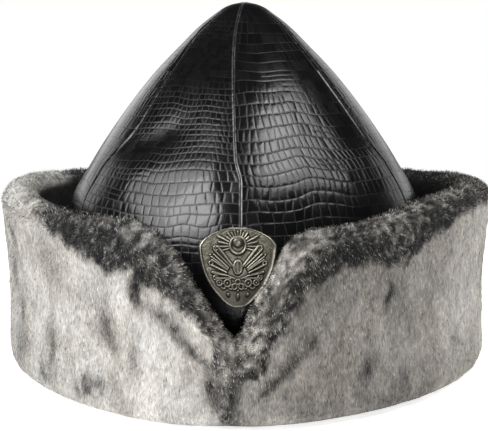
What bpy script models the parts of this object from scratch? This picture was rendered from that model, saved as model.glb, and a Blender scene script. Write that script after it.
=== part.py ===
# A conical leather hat: a crown of six gores, a turned-up fur cuff with a V in front, and a cast badge
import math
from collections import namedtuple

import bmesh
import bpy
import numpy as np
from mathutils import Matrix, Vector

# Driving dimensions, in metres; azimuth 0 is the front (-Y) and 90 is the wearer's left (+X)
HAT_HEIGHT = 0.162
DEPTH_RATIO = 1.13
LEATHER_THICKNESS = 0.002
SEAM_GAP = 0.0003
CUFF_HALF_WIDTH = 0.1095
CUFF_THICKNESS = 0.0155
FOOT_RADIUS = 0.008
RIM_RADIUS = 0.0078
RIM_FLARE = 0.0016
FLARE_START = 0.5
WAIST = 0.0009
WAIST_END = 0.8
TOE_HEIGHT = 0.006
TOE_GAP = 0.0005
GROOVE_FLOOR = 0.012
FACING_THICKNESS = 0.0012
FACING_BELOW_RIM = 0.017
CROWN_HEM = 0.0015

# Crown mesh density
COLUMNS_PER_GORE = 8
CROWN_ROWS = 16

GoreSpan = namedtuple("GoreSpan", "name start end")
GORES = (
    GoreSpan("crown_gore_back_left", -180.0, -118.0),
    GoreSpan("crown_gore_left", -118.0, -55.0),
    GoreSpan("crown_gore_front_left", -55.0, 0.0),
    GoreSpan("crown_gore_front_right", 0.0, 57.0),
    GoreSpan("crown_gore_right", 57.0, 118.0),
    GoreSpan("crown_gore_back_right", 118.0, 180.0),
)

# Seam radius of the crown against height, and how hard its six sides are pulled flat
CrownRow = namedtuple("CrownRow", "height radius squareness")
CROWN_PROFILE = (
    CrownRow(CROWN_HEM, 0.0875, 3.0),
    CrownRow(0.030, 0.0875, 3.5),
    CrownRow(0.050, 0.0862, 4.5),
    CrownRow(0.062, 0.0842, 5.5),
    CrownRow(0.075, 0.0803, 6.0),
    CrownRow(0.090, 0.0722, 7.0),
    CrownRow(0.105, 0.0622, 7.0),
    CrownRow(0.120, 0.0506, 6.5),
    CrownRow(0.132, 0.0400, 6.0),
    CrownRow(0.142, 0.0301, 6.0),
    CrownRow(0.150, 0.0216, 5.0),
    CrownRow(0.156, 0.0138, 4.0),
    CrownRow(0.1605, 0.0064, 3.0),
    CrownRow(HAT_HEIGHT, 0.0, 3.0),
)

# Soft furrows pressed into the crown, each along a line from one place to another
Furrow = namedtuple("Furrow", "azimuth_1 height_1 azimuth_2 height_2 half_width depth")
CROWN_FURROWS = (
    Furrow(-56.0, 0.088, -30.0, 0.106, 0.007, 0.0016),
    Furrow(46.0, 0.112, 56.0, 0.092, 0.006, 0.0012),
    Furrow(-14.0, 0.076, -6.0, 0.086, 0.006, 0.0008),
)

# Where the cuff's plan stands out from an oval: pointed at the front, and fuller on one side
PlanBulge = namedtuple("PlanBulge", "azimuth spread reach")
CUFF_BULGES = (
    PlanBulge(-8.0, 35.0, 0.0080),
    PlanBulge(66.0, 24.0, 0.0016),
)

# Height of the cuff's rolled rim round the hat, with the V between -20 and 12 degrees
RimRow = namedtuple("RimRow", "azimuth height")
CUFF_RIM = (
    RimRow(-180.0, 0.0740),
    RimRow(-120.0, 0.0785),
    RimRow(-90.0, 0.0810),
    RimRow(-58.0, 0.0788),
    RimRow(-44.0, 0.0772),
    RimRow(-24.0, 0.0770),
    RimRow(-20.0, 0.0755),
    RimRow(-15.4, 0.0698),
    RimRow(-10.0, 0.0558),
    RimRow(-6.4, 0.0452),
    RimRow(-0.8, 0.0325),
    RimRow(1.7, 0.0450),
    RimRow(3.8, 0.0525),
    RimRow(7.1, 0.0615),
    RimRow(9.2, 0.0705),
    RimRow(12.0, 0.0740),
    RimRow(20.0, 0.0742),
    RimRow(30.0, 0.0768),
    RimRow(45.0, 0.0815),
    RimRow(60.0, 0.0832),
    RimRow(90.0, 0.0815),
    RimRow(120.0, 0.0785),
    RimRow(180.0, 0.0740),
)
V_LEFT = -20.0
V_RIGHT = 11.0
V_FADE = 5.0
V_ROLL_STRETCH = 0.55

# Valley where the two ends of the cuff meet below the V
VALLEY_DEPTH = 0.0042
VALLEY_HALF_WIDTH = 0.0065
VALLEY_TOP_X = -0.003
VALLEY_FOOT_X = -0.007

# Badge, measured in its own plane from its centre
BADGE_X = -0.0026
BADGE_HEIGHT_ON_CROWN = 0.0556
BADGE_LEAN = 12.0
BADGE_THICKNESS = 0.0016
BADGE_EDGE_BEVEL = 0.0005
RELIEF_HEIGHT = 0.0009
POST_RADIUS = 0.0011
POST_HOLE_RADIUS = 0.0015
CLUTCH_RADIUS = 0.0042
CLUTCH_THICKNESS = 0.0022
CLUTCH_SEAT = 0.0031

OutlineRow = namedtuple("OutlineRow", "x y")
BADGE_OUTLINE = (
    OutlineRow(0.0, 0.0156),
    OutlineRow(0.0080, 0.0140),
    OutlineRow(0.0138, 0.0105),
    OutlineRow(0.0153, 0.0076),
    OutlineRow(0.0145, 0.0016),
    OutlineRow(0.0114, -0.0062),
    OutlineRow(0.0062, -0.0128),
    OutlineRow(0.0, -0.0157),
)
SHIELD_OUTLINE = (
    OutlineRow(0.0, 0.0030),
    OutlineRow(0.0021, 0.0018),
    OutlineRow(0.0021, -0.0008),
    OutlineRow(0.0, -0.0032),
)

# Cast relief: straight bars, rings and bosses; those at the side are there again on the other side
BAR_RIDGE_SHARE = 0.55
RAY_DROP = 0.45
BAR_DROP = 0.25
RING_DROP = 0.3
BOSS_DROP = 0.2
MIDDLE_RISE = 0.3
Bar = namedtuple("Bar", "x1 y1 x2 y2 width_1 width_2")
SIDE_BARS = (
    Bar(0.0020, 0.0002, 0.0088, 0.0082, 0.0011, 0.0015),
    Bar(0.0040, -0.0004, 0.0105, 0.0052, 0.0008, 0.0007),
    Bar(0.0045, -0.0012, 0.0112, 0.0030, 0.0008, 0.0007),
    Bar(0.0048, -0.0022, 0.0110, 0.0006, 0.0008, 0.0012),
    Bar(0.0045, -0.0034, 0.0107, -0.0022, 0.0008, 0.0016),
)
Ring = namedtuple("Ring", "x y radius wire")
SIDE_RINGS = (
    Ring(0.0045, -0.0064, 0.0014, 0.00042),
    Ring(0.0080, -0.0062, 0.0011, 0.00040),
    Ring(0.0015, -0.0078, 0.0011, 0.00038),
)
Boss = namedtuple("Boss", "x y radius_x radius_y")
SIDE_BOSSES = (Boss(0.0042, -0.0110, 0.0008, 0.0009),)
MIDDLE_BOSSES = (
    Boss(0.0, 0.0102, 0.0023, 0.0023),
    Boss(0.0, -0.0118, 0.0008, 0.0015),
)
CRESCENT = Ring(0.0, 0.0088, 0.0034, 0.00060)
SUN_CENTRE_Y = 0.0084
SUN_RAYS = 15
SUN_RAY_START = 0.0036
SUN_RAY_LENGTHS = (0.0085, 0.0078)
SUN_RAY_WIDTH = 0.0009
SUN_FIRST_RAY = -12.0
SUN_LAST_RAY = 192.0

# Colour, metallic and roughness of each material
LEATHER = ((0.012, 0.013, 0.013), 0.0, 0.32)
FUR_GREY = ((0.36, 0.35, 0.33), 0.0, 0.95)
FACING_BLACK = ((0.015, 0.015, 0.016), 0.0, 0.85)
AGED_PEWTER = ((0.42, 0.39, 0.31), 1.0, 0.38)
CLUTCH_STEEL = ((0.55, 0.54, 0.52), 1.0, 0.40)


def clear_scene():
    for old in list(bpy.data.objects):
        bpy.data.objects.remove(old)


def new_collection(name):
    collection = bpy.data.collections.new(name)
    bpy.context.scene.collection.children.link(collection)
    return collection


def new_material(name, look):
    colour, metallic, roughness = look
    material = bpy.data.materials.new(name)
    material.use_nodes = True
    shader = material.node_tree.nodes["Principled BSDF"]
    shader.inputs["Base Color"].default_value = (*colour, 1.0)
    shader.inputs["Metallic"].default_value = metallic
    shader.inputs["Roughness"].default_value = roughness
    return material


def new_object(name, mesh, collection, material=None):
    made = bpy.data.objects.new(name, mesh)
    collection.objects.link(made)
    if material is not None:
        mesh.materials.append(material)
    return made


def mesh_from(name, bm):
    mesh = bpy.data.meshes.new(name)
    bmesh.ops.recalc_face_normals(bm, faces=bm.faces)
    bm.to_mesh(mesh)
    bm.free()
    return mesh


def smooth_value(rows, key, value, x):
    """Value of a named column at x, on a curve through the rows that never overshoots them."""
    xs = np.array([getattr(row, key) for row in rows], float)
    ys = np.array([getattr(row, value) for row in rows], float)
    step = np.diff(xs)
    slope = np.diff(ys) / step
    tangent = np.zeros(len(xs))
    same_way = slope[:-1] * slope[1:] > 0
    weight_1 = 2 * step[1:] + step[:-1]
    weight_2 = step[1:] + 2 * step[:-1]
    safe = np.where(same_way[:, None], np.stack([slope[:-1], slope[1:]], 1), 1.0)
    mean = (weight_1 + weight_2) / (weight_1 / safe[:, 0] + weight_2 / safe[:, 1])
    tangent[1:-1] = np.where(same_way, mean, 0.0)
    tangent[0] = slope[0]
    tangent[-1] = slope[-1]
    i = int(np.clip(np.searchsorted(xs, x) - 1, 0, len(step) - 1))
    t = (x - xs[i]) / step[i]
    return float(
        ys[i] * (1 + 2 * t) * (1 - t) ** 2
        + ys[i + 1] * t * t * (3 - 2 * t)
        + step[i] * (tangent[i] * t * (1 - t) ** 2 + tangent[i + 1] * t * t * (t - 1))
    )


# Crown

GORE_MIDDLES = [math.radians((g.start + g.end) / 2) for g in GORES]


def six_sided(azimuth, squareness):
    """Radius of a rounded six-sided section in this direction, as a share of its radius at the front seam."""

    def support(angle):
        return sum(max(0.0, math.cos(angle - m)) ** squareness for m in GORE_MIDDLES)

    return (support(0.0) / support(azimuth)) ** (1.0 / squareness)


def furrow_depth(azimuth_deg, height, radius):
    """How far the furrows press the crown in at this place."""
    depth = 0.0
    for row in CROWN_FURROWS:
        arc = math.radians(1.0) * radius
        start = Vector((row.azimuth_1 * arc, row.height_1))
        end = Vector((row.azimuth_2 * arc, row.height_2))
        place = Vector((azimuth_deg * arc, height))
        along = end - start
        share = min(1.0, max(0.0, (place - start).dot(along) / along.length_squared))
        distance = (place - start - along * share).length
        depth += row.depth * math.exp(-((distance / row.half_width) ** 2))
    return depth


def crown_point(azimuth_deg, height):
    azimuth = math.radians(azimuth_deg)
    height = min(max(height, CROWN_PROFILE[0].height), HAT_HEIGHT)
    radius = smooth_value(CROWN_PROFILE, "height", "radius", height)
    squareness = smooth_value(CROWN_PROFILE, "height", "squareness", height)
    if radius > 0.01:
        radius -= furrow_depth(azimuth_deg, height, radius)
    radius *= six_sided(azimuth, squareness)
    x = radius * math.sin(azimuth)
    y = -radius * DEPTH_RATIO * math.cos(azimuth)
    return Vector((x, y, height))


def crown_heights():
    """Row heights spaced evenly along the crown's profile, from the hem to just below the tip."""
    samples = np.linspace(CROWN_HEM, HAT_HEIGHT, 400)
    radii = [smooth_value(CROWN_PROFILE, "height", "radius", z) for z in samples]
    run = np.concatenate([[0.0], np.cumsum(np.hypot(np.diff(samples), np.diff(radii)))])
    return np.interp(np.linspace(0.0, run[-1], CROWN_ROWS + 1)[:-1], run, samples)


def crown_azimuths():
    azimuths = []
    for gore in GORES:
        azimuths += list(np.linspace(gore.start, gore.end, COLUMNS_PER_GORE + 1)[:-1])
    return azimuths


def crown_surface():
    """The crown's outer face: rings of points joined up to a single point at the tip."""
    bm = bmesh.new()
    azimuths = crown_azimuths()
    rings = [[bm.verts.new(crown_point(a, z)) for a in azimuths] for z in crown_heights()]
    tip = bm.verts.new((0.0, 0.0, HAT_HEIGHT))
    count = len(azimuths)
    for low, high in zip(rings, rings[1:]):
        for i in range(count):
            j = (i + 1) % count
            bm.faces.new((low[i], low[j], high[j], high[i]))
    for i in range(count):
        bm.faces.new((rings[-1][i], rings[-1][(i + 1) % count], tip))
    mesh = bpy.data.meshes.new("crown_surface")
    bm.to_mesh(mesh)
    bm.free()
    mesh.shade_smooth()
    return mesh


def seam_direction(azimuth_deg):
    """Level direction in which the seam at this azimuth lies, seen from the crown's axis."""
    azimuth = math.radians(azimuth_deg)
    return Vector((math.sin(azimuth), -DEPTH_RATIO * math.cos(azimuth), 0.0)).normalized()


def gore_wedge(gore, cutters):
    """A tall wedge that holds one gore, kept half a seam gap clear of the seams on both sides."""
    first = seam_direction(gore.start)
    second = seam_direction(gore.end)
    middle = (first + second).normalized()
    half_angle = first.angle(second) / 2
    reach = 4 * CUFF_HALF_WIDTH
    apex = middle * (SEAM_GAP / 2 / math.sin(half_angle))
    bm = bmesh.new()
    corners = (apex, apex + first * reach, apex + middle * reach, apex + second * reach)
    foot = [bm.verts.new(c - Vector((0, 0, HAT_HEIGHT))) for c in corners]
    face = bm.faces.new(foot)
    top = bmesh.ops.extrude_face_region(bm, geom=[face])["geom"]
    moved = [v for v in top if isinstance(v, bmesh.types.BMVert)]
    bmesh.ops.translate(bm, verts=moved, vec=(0, 0, 3 * HAT_HEIGHT))
    return hide_cutter(new_object(gore.name + "_wedge", mesh_from("wedge", bm), cutters))


def hide_cutter(cutter):
    cutter.hide_render = True
    cutter.display_type = "WIRE"
    return cutter


def add_boolean(target, operation, operand, name):
    step = target.modifiers.new(name, "BOOLEAN")
    step.operation = operation
    step.object = operand
    step.solver = "EXACT"
    return step


def make_gores(parts, cutters, leather, post_hole):
    surface = crown_surface()
    for gore in GORES:
        panel = new_object(gore.name, surface.copy(), parts, leather)
        shell = panel.modifiers.new("leather", "SOLIDIFY")
        shell.thickness = LEATHER_THICKNESS
        shell.offset = -1.0
        add_boolean(panel, "INTERSECT", gore_wedge(gore, cutters), "gore cut")
        if "front" in gore.name:
            add_boolean(panel, "DIFFERENCE", post_hole, "post hole")


# Cuff

def rim_height(azimuth_deg):
    return smooth_value(CUFF_RIM, "azimuth", "height", azimuth_deg)


def cuff_point(azimuth_deg, offset, height):
    """A point at this offset from the cuff's foot line, outward positive."""
    azimuth = math.radians(azimuth_deg)
    x = (CUFF_HALF_WIDTH + offset) * math.sin(azimuth)
    y = -(CUFF_HALF_WIDTH * DEPTH_RATIO + offset) * math.cos(azimuth)
    point = Vector((x, y, height))
    for row in CUFF_BULGES:
        away = (azimuth_deg - row.azimuth) / row.spread
        point += seam_direction(row.azimuth) * row.reach * math.exp(-(away ** 2))
    return point


def valley_depth(point):
    """How far the outer face is drawn in where the cuff's two ends meet."""
    if point.y > 0:
        return 0.0
    top = rim_height(0.0)
    share = min(1.0, max(0.0, point.z / top))
    middle = VALLEY_FOOT_X + (VALLEY_TOP_X - VALLEY_FOOT_X) * share
    distance = (point.x - middle) / VALLEY_HALF_WIDTH
    fade = min(1.0, 0.3 + point.z / (2 * FOOT_RADIUS))
    return VALLEY_DEPTH * fade * math.exp(-(distance ** 2))


def v_share(azimuth_deg):
    """1 between the two corners of the V, fading to 0 over a few degrees on either side."""
    left = min(1.0, max(0.0, (azimuth_deg - V_LEFT + V_FADE) / V_FADE))
    right = min(1.0, max(0.0, (V_RIGHT + V_FADE - azimuth_deg) / V_FADE))
    return left * right


def outer_offset(share):
    """Offset of the outer face at this share of its height: drawn in at the waist, flared at the rim."""
    flare = RIM_FLARE * max(0.0, (share - FLARE_START) / (1 - FLARE_START)) ** 2
    return flare - WAIST * math.sin(math.pi * min(share, WAIST_END) / WAIST_END)


def cuff_section(azimuth_deg):
    """Closed section of the cuff, from the inner toe round the foot, up, over the rim and down inside."""
    rim = rim_height(azimuth_deg)
    roll_height = RIM_RADIUS * (1 + V_ROLL_STRETCH * v_share(azimuth_deg))
    roll_base = rim - roll_height
    points = [crown_point(azimuth_deg, 0.0)]
    points[0].z = 0.0
    points[0] += seam_direction(azimuth_deg) * TOE_GAP
    points.append(cuff_point(azimuth_deg, -FOOT_RADIUS, 0.0))
    for angle in (-60, -30, 0):
        a = math.radians(angle)
        offset = FOOT_RADIUS * (math.cos(a) - 1)
        points.append(cuff_point(azimuth_deg, offset, FOOT_RADIUS * (1 + math.sin(a))))
    for share in (0.25, 0.5, 0.75, 0.9):
        height = FOOT_RADIUS + (roll_base - FOOT_RADIUS) * share
        points.append(cuff_point(azimuth_deg, outer_offset(share), height))
    for angle in range(0, 181, 30):
        a = math.radians(angle)
        offset = RIM_FLARE - RIM_RADIUS + RIM_RADIUS * math.cos(a)
        points.append(cuff_point(azimuth_deg, offset, roll_base + roll_height * math.sin(a)))
    for point in points[1:-1]:
        point -= seam_direction(azimuth_deg) * valley_depth(point)
    for share in (0.66, 0.33, 0.0):
        points.append(inner_face_point(azimuth_deg, share, 0.0))
    points.append(crown_point(azimuth_deg, TOE_HEIGHT) + seam_direction(azimuth_deg) * TOE_GAP)
    return points


def inner_face_point(azimuth_deg, share, inset, top_drop=0.0):
    """A point on the cuff's inner face, from the groove's floor at share 0 up to the rolled rim at share 1."""
    roll_height = RIM_RADIUS * (1 + V_ROLL_STRETCH * v_share(azimuth_deg))
    top = rim_height(azimuth_deg) - roll_height - top_drop
    low = -CUFF_THICKNESS
    high = RIM_FLARE - 2 * RIM_RADIUS
    full = rim_height(azimuth_deg) - roll_height - GROOVE_FLOOR
    height = GROOVE_FLOOR + (top - GROOVE_FLOOR) * share
    offset = low + (high - low) * (height - GROOVE_FLOOR) / full
    return cuff_point(azimuth_deg, offset - inset, height)


def section_azimuths():
    """Close together across the V, where the rim drops and climbs, and wide apart round the back."""
    fine = np.concatenate([np.arange(-26.0, -6.0, 2.5), np.arange(-6.0, 4.0, 1.25), np.arange(4.0, 19.0, 2.5)])
    coarse = np.linspace(fine[-1], fine[0] + 360.0, 41)[1:-1]
    return [float(a) for a in fine] + [float(a if a <= 180 else a - 360) for a in coarse]


def ring_loft(name, sections):
    """Closed sections joined into a ring."""
    bm = bmesh.new()
    loops = [[bm.verts.new(p) for p in section] for section in sections]
    count = len(loops[0])
    for this, following in zip(loops, loops[1:] + loops[:1]):
        for i in range(count):
            j = (i + 1) % count
            bm.faces.new((this[i], following[i], following[j], this[j]))
    mesh = mesh_from(name, bm)
    mesh.shade_smooth()
    mesh.set_sharp_from_angle(angle=math.radians(50))
    return mesh


def make_cuff(parts, fur):
    sections = [cuff_section(a) for a in section_azimuths()]
    new_object("fur_cuff", ring_loft("fur_cuff", sections), parts, fur)


def facing_section(azimuth_deg):
    """Thin band against the cuff's inner face, below the fur that is turned over the rim."""
    shares = (0.08, 0.4, 0.7, 1.0)
    drop = FACING_BELOW_RIM - RIM_RADIUS
    near = SEAM_GAP
    far = SEAM_GAP + FACING_THICKNESS
    outer = [inner_face_point(azimuth_deg, s, near, drop) for s in shares]
    inner = [inner_face_point(azimuth_deg, s, far, drop) for s in reversed(shares)]
    return outer + inner


def make_facing(parts, cloth):
    sections = [facing_section(a) for a in section_azimuths()]
    new_object("cuff_facing", ring_loft("cuff_facing", sections), parts, cloth)


# Badge

def badge_frame():
    """Place of the badge: its plane's axes, with its centre just clear of the front seam."""
    seat = crown_point(0.0, BADGE_HEIGHT_ON_CROWN)
    lean = math.radians(BADGE_LEAN)
    turn = Matrix.Rotation(math.pi / 2 - lean, 4, "X")
    out = turn @ Vector((0, 0, 1))
    place = Vector((BADGE_X, seat.y, seat.z)) + out * SEAM_GAP
    return Matrix.Translation(place) @ turn


def mirrored_outline(rows):
    """The right half's points, then the same points on the left."""
    right = [(row.x, row.y) for row in rows]
    left = [(-x, y) for x, y in reversed(right[1:-1])]
    return right + left


def outline_body(name, outline, thickness, bevel, cutters):
    """A flat closed outline through these points, filled and thickened, as a mesh."""
    curve = bpy.data.curves.new(name, "CURVE")
    curve.dimensions = "2D"
    curve.fill_mode = "BOTH"
    curve.resolution_u = 3
    curve.extrude = thickness / 2 - bevel
    curve.bevel_depth = bevel
    curve.bevel_resolution = 1
    curve.offset = -bevel
    spline = curve.splines.new("BEZIER")
    spline.bezier_points.add(len(outline) - 1)
    spline.use_cyclic_u = True
    for knot, (x, y) in zip(spline.bezier_points, outline):
        knot.co = (x, y, 0.0)
        knot.handle_left_type = "AUTO"
        knot.handle_right_type = "AUTO"
    guide = new_object(name + "_curve", curve, cutters)
    bpy.context.view_layer.update()
    graph = bpy.context.evaluated_depsgraph_get()
    mesh = bpy.data.meshes.new_from_object(guide.evaluated_get(graph))
    bpy.data.objects.remove(guide)
    bm = bmesh.new()
    bm.from_mesh(mesh)
    bmesh.ops.remove_doubles(bm, verts=bm.verts, dist=0.00001)
    bmesh.ops.translate(bm, verts=bm.verts, vec=(0, 0, thickness / 2))
    return bm


def add_bar(bm, start, end, width_1, width_2, top):
    """A straight bar of tapering width that stands on the plate's face."""
    start = Vector((*start, 0.0))
    end = Vector((*end, 0.0))
    along = end - start
    made = bmesh.ops.create_cube(bm, size=1.0)["verts"]
    turn = Matrix.Rotation(math.atan2(along.y, along.x), 4, "Z")
    low = BADGE_THICKNESS * 0.6
    for vert in made:
        far = vert.co.x > 0
        ridge = vert.co.z > 0
        width = (width_2 if far else width_1) * (BAR_RIDGE_SHARE if ridge else 1.0)
        local = Vector((along.length if far else 0.0, math.copysign(width / 2, vert.co.y), 0.0))
        vert.co = start + turn @ local + Vector((0, 0, top if ridge else low))


def add_ring(bm, ring, top, segments=12):
    """A round wire ring laid flat on the plate."""
    sides = 4
    level = top - ring.wire
    loops = []
    for i in range(segments):
        a = 2 * math.pi * i / segments
        loop = []
        for k in range(sides):
            b = 2 * math.pi * k / sides
            r = ring.radius + ring.wire * math.cos(b)
            place = (ring.x + r * math.cos(a), ring.y + r * math.sin(a), level + ring.wire * math.sin(b))
            loop.append(bm.verts.new(place))
        loops.append(loop)
    for this, following in zip(loops, loops[1:] + loops[:1]):
        for k in range(sides):
            j = (k + 1) % sides
            bm.faces.new((this[k], following[k], following[j], this[j]))


def add_boss(bm, boss, top):
    """A low dome, as the upper part of a flattened ball sunk in the plate."""
    made = bmesh.ops.create_uvsphere(bm, u_segments=12, v_segments=6, radius=1.0)["verts"]
    base = BADGE_THICKNESS
    for vert in made:
        vert.co.x = boss.x + vert.co.x * boss.radius_x
        vert.co.y = boss.y + vert.co.y * boss.radius_y
        vert.co.z = base + vert.co.z * (top - base)


def make_relief(castings):
    """The cast trophy: a half sun with a boss, crossed staves and lances, a shield, scrolls and drops."""
    top = BADGE_THICKNESS + RELIEF_HEIGHT
    rays = bmesh.new()
    for i in range(SUN_RAYS):
        a = math.radians(SUN_FIRST_RAY + (SUN_LAST_RAY - SUN_FIRST_RAY) * i / (SUN_RAYS - 1))
        reach = SUN_RAY_LENGTHS[i % 2] * (1.0 if math.sin(a) < 0.5 else 0.72)
        start = (SUN_RAY_START * math.cos(a), SUN_CENTRE_Y + SUN_RAY_START * math.sin(a))
        end = (reach * math.cos(a), SUN_CENTRE_Y + reach * math.sin(a))
        add_bar(rays, start, end, SUN_RAY_WIDTH * 0.6, SUN_RAY_WIDTH, top - RELIEF_HEIGHT * RAY_DROP)
    bars = bmesh.new()
    rings = bmesh.new()
    bosses = bmesh.new()
    for side in (1, -1):
        for bar in SIDE_BARS:
            start = (side * bar.x1, bar.y1)
            end = (side * bar.x2, bar.y2)
            add_bar(bars, start, end, bar.width_1, bar.width_2, top - RELIEF_HEIGHT * BAR_DROP)
        for ring in SIDE_RINGS:
            add_ring(rings, ring._replace(x=side * ring.x), top - RELIEF_HEIGHT * RING_DROP)
        for boss in SIDE_BOSSES:
            add_boss(bosses, boss._replace(x=side * boss.x), top - RELIEF_HEIGHT * BOSS_DROP)
    for boss in MIDDLE_BOSSES:
        add_boss(bosses, boss, top + RELIEF_HEIGHT * MIDDLE_RISE)
    crescent = bmesh.new()
    add_ring(crescent, CRESCENT, top + RELIEF_HEIGHT * 0.1, segments=20)
    shield = outline_body("shield", mirrored_outline(SHIELD_OUTLINE), RELIEF_HEIGHT * 2, 0.0002, castings)
    bmesh.ops.translate(shield, verts=shield.verts, vec=(0, 0, BADGE_THICKNESS - RELIEF_HEIGHT))
    pieces = {"rays": rays, "bars": bars, "rings": rings, "crescent": crescent}
    pieces.update({"bosses": bosses, "shield": shield})
    for name, bm in pieces.items():
        hide_cutter(new_object("badge_" + name, mesh_from(name, bm), castings))


def post_cylinder(radius, near, far, name, cutters, sides=12):
    """A round bar along the badge's axis, from near to far behind the plate."""
    bm = bmesh.new()
    bmesh.ops.create_cone(
        bm, cap_ends=True, segments=sides, radius1=radius, radius2=radius, depth=far - near
    )
    bmesh.ops.translate(bm, verts=bm.verts, vec=(0, 0, -(near + far) / 2))
    return hide_cutter(new_object(name, mesh_from(name, bm), cutters))


def make_badge(parts, cutters, pewter, frame):
    """The plate with its relief in front and its post behind, joined into one casting."""
    bm = outline_body("badge", mirrored_outline(BADGE_OUTLINE), BADGE_THICKNESS, BADGE_EDGE_BEVEL, cutters)
    badge = new_object("badge", mesh_from("badge", bm), parts, pewter)
    castings = new_collection("badge_castings")
    make_relief(castings)
    post_end = CLUTCH_SEAT + CLUTCH_THICKNESS + SEAM_GAP
    post_cylinder(POST_RADIUS, -BADGE_THICKNESS / 2, post_end, "badge_post", castings)
    for piece in castings.objects:
        piece.matrix_world = frame
    cast = badge.modifiers.new("cast", "BOOLEAN")
    cast.operation = "UNION"
    cast.operand_type = "COLLECTION"
    cast.collection = castings
    cast.solver = "EXACT"
    badge.matrix_world = frame
    badge.data.set_sharp_from_angle(angle=math.radians(35))


def make_clutch(parts, cutters, steel, frame):
    """A plain washer on the post, inside the crown."""
    bm = bmesh.new()
    bmesh.ops.create_cone(
        bm,
        cap_ends=True,
        segments=20,
        radius1=CLUTCH_RADIUS,
        radius2=CLUTCH_RADIUS,
        depth=CLUTCH_THICKNESS,
    )
    bmesh.ops.translate(bm, verts=bm.verts, vec=(0, 0, -CLUTCH_SEAT - CLUTCH_THICKNESS / 2))
    clutch = new_object("badge_clutch", mesh_from("badge_clutch", bm), parts, steel)
    reach = 2 * (CLUTCH_SEAT + CLUTCH_THICKNESS)
    hole = post_cylinder(POST_HOLE_RADIUS, -reach, reach, "clutch_hole", cutters)
    hole.matrix_world = frame
    add_boolean(clutch, "DIFFERENCE", hole, "post hole")
    clutch.matrix_world = frame


def centre_on_footprint():
    """Move every part and cutter alike, so that the cuff's plan is centred on the origin."""
    bpy.context.view_layer.update()
    corners = [Vector(corner) for corner in bpy.data.objects["fur_cuff"].bound_box]
    low = Vector([min(corner[k] for corner in corners) for k in range(3)])
    high = Vector([max(corner[k] for corner in corners) for k in range(3)])
    middle = (low + high) / 2
    shift = Matrix.Translation((-middle.x, -middle.y, 0.0))
    for made in bpy.data.objects:
        made.matrix_world = shift @ made.matrix_world


def build():
    clear_scene()
    parts = new_collection("bork_hat")
    cutters = new_collection("cutters")
    leather = new_material("embossed_leather", LEATHER)
    fur = new_material("grey_fur", FUR_GREY)
    cloth = new_material("black_facing", FACING_BLACK)
    pewter = new_material("aged_pewter", AGED_PEWTER)
    steel = new_material("clutch_steel", CLUTCH_STEEL)
    frame = badge_frame()
    post_hole = post_cylinder(POST_HOLE_RADIUS, -0.01, 0.01, "post_hole", cutters)
    post_hole.matrix_world = frame
    make_gores(parts, cutters, leather, post_hole)
    make_cuff(parts, fur)
    make_facing(parts, cloth)
    make_badge(parts, cutters, pewter, frame)
    make_clutch(parts, cutters, steel, frame)
    centre_on_footprint()


build()
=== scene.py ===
"""Looks of a conical leather hat with a turned-up fur cuff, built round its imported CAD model."""
import math
from collections import namedtuple

import bmesh
import bpy
import numpy as np
from mathutils import Matrix, Quaternion, Vector


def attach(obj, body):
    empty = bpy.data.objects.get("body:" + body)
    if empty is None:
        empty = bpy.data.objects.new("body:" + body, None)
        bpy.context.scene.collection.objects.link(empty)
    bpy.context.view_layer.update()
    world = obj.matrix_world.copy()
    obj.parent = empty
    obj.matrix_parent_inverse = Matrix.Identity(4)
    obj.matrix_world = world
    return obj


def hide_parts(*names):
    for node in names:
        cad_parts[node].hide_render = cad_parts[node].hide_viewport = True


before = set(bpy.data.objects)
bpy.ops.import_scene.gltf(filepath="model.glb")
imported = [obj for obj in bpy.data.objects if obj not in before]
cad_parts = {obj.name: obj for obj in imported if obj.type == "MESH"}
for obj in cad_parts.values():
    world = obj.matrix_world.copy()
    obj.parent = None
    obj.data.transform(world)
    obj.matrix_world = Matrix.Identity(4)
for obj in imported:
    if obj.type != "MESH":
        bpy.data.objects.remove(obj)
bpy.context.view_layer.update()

MM = 0.001


def table(kind, *rows):
    """Rows with named columns, from plain ones."""
    return tuple(kind(*row) for row in rows)


# Camera: where the photograph was taken from, and its focal length in pixels of a 488 pixel frame
FRAME_WIDTH = 488
SENSOR_WIDTH = 36.0
FOCAL_PIXELS = 1131.0
CAMERA_DISTANCE = 0.53
CAMERA_HEIGHT = 0.1365
CAMERA_PITCH = 7.95
CAMERA_X = -0.0005

# Crown: its axis in plan, and the same section tables that the solid is lofted from
AXIS_X = -0.000274
AXIS_Y = 0.003438
HAT_HEIGHT = 0.162
DEPTH_RATIO = 1.13
CROWN_HEM = 0.0015
LEATHER_THICKNESS = 0.002
INNER_STEP = 9
CrownRow = namedtuple("CrownRow", "height radius squareness")
CROWN_PROFILE = table(
    CrownRow,
    (CROWN_HEM, 0.0875, 3.0), (0.030, 0.0875, 3.5), (0.050, 0.0862, 4.5), (0.062, 0.0842, 5.5),
    (0.075, 0.0803, 6.0), (0.090, 0.0722, 7.0), (0.105, 0.0622, 7.0), (0.120, 0.0506, 6.5),
    (0.132, 0.0400, 6.0), (0.142, 0.0301, 6.0), (0.150, 0.0216, 5.0), (0.156, 0.0138, 4.0),
    (0.1605, 0.0064, 3.0), (HAT_HEIGHT, 0.0, 3.0),
)
LEAST_ARC_RADIUS = 0.01
FURROWS_FADE = (0.008, 0.02)
GORE_EDGES = (-180.0, -118.0, -55.0, 0.0, 57.0, 118.0, 180.0)
GORE_MIDDLES = [math.radians((a + b) / 2) for a, b in zip(GORE_EDGES, GORE_EDGES[1:])]

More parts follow.
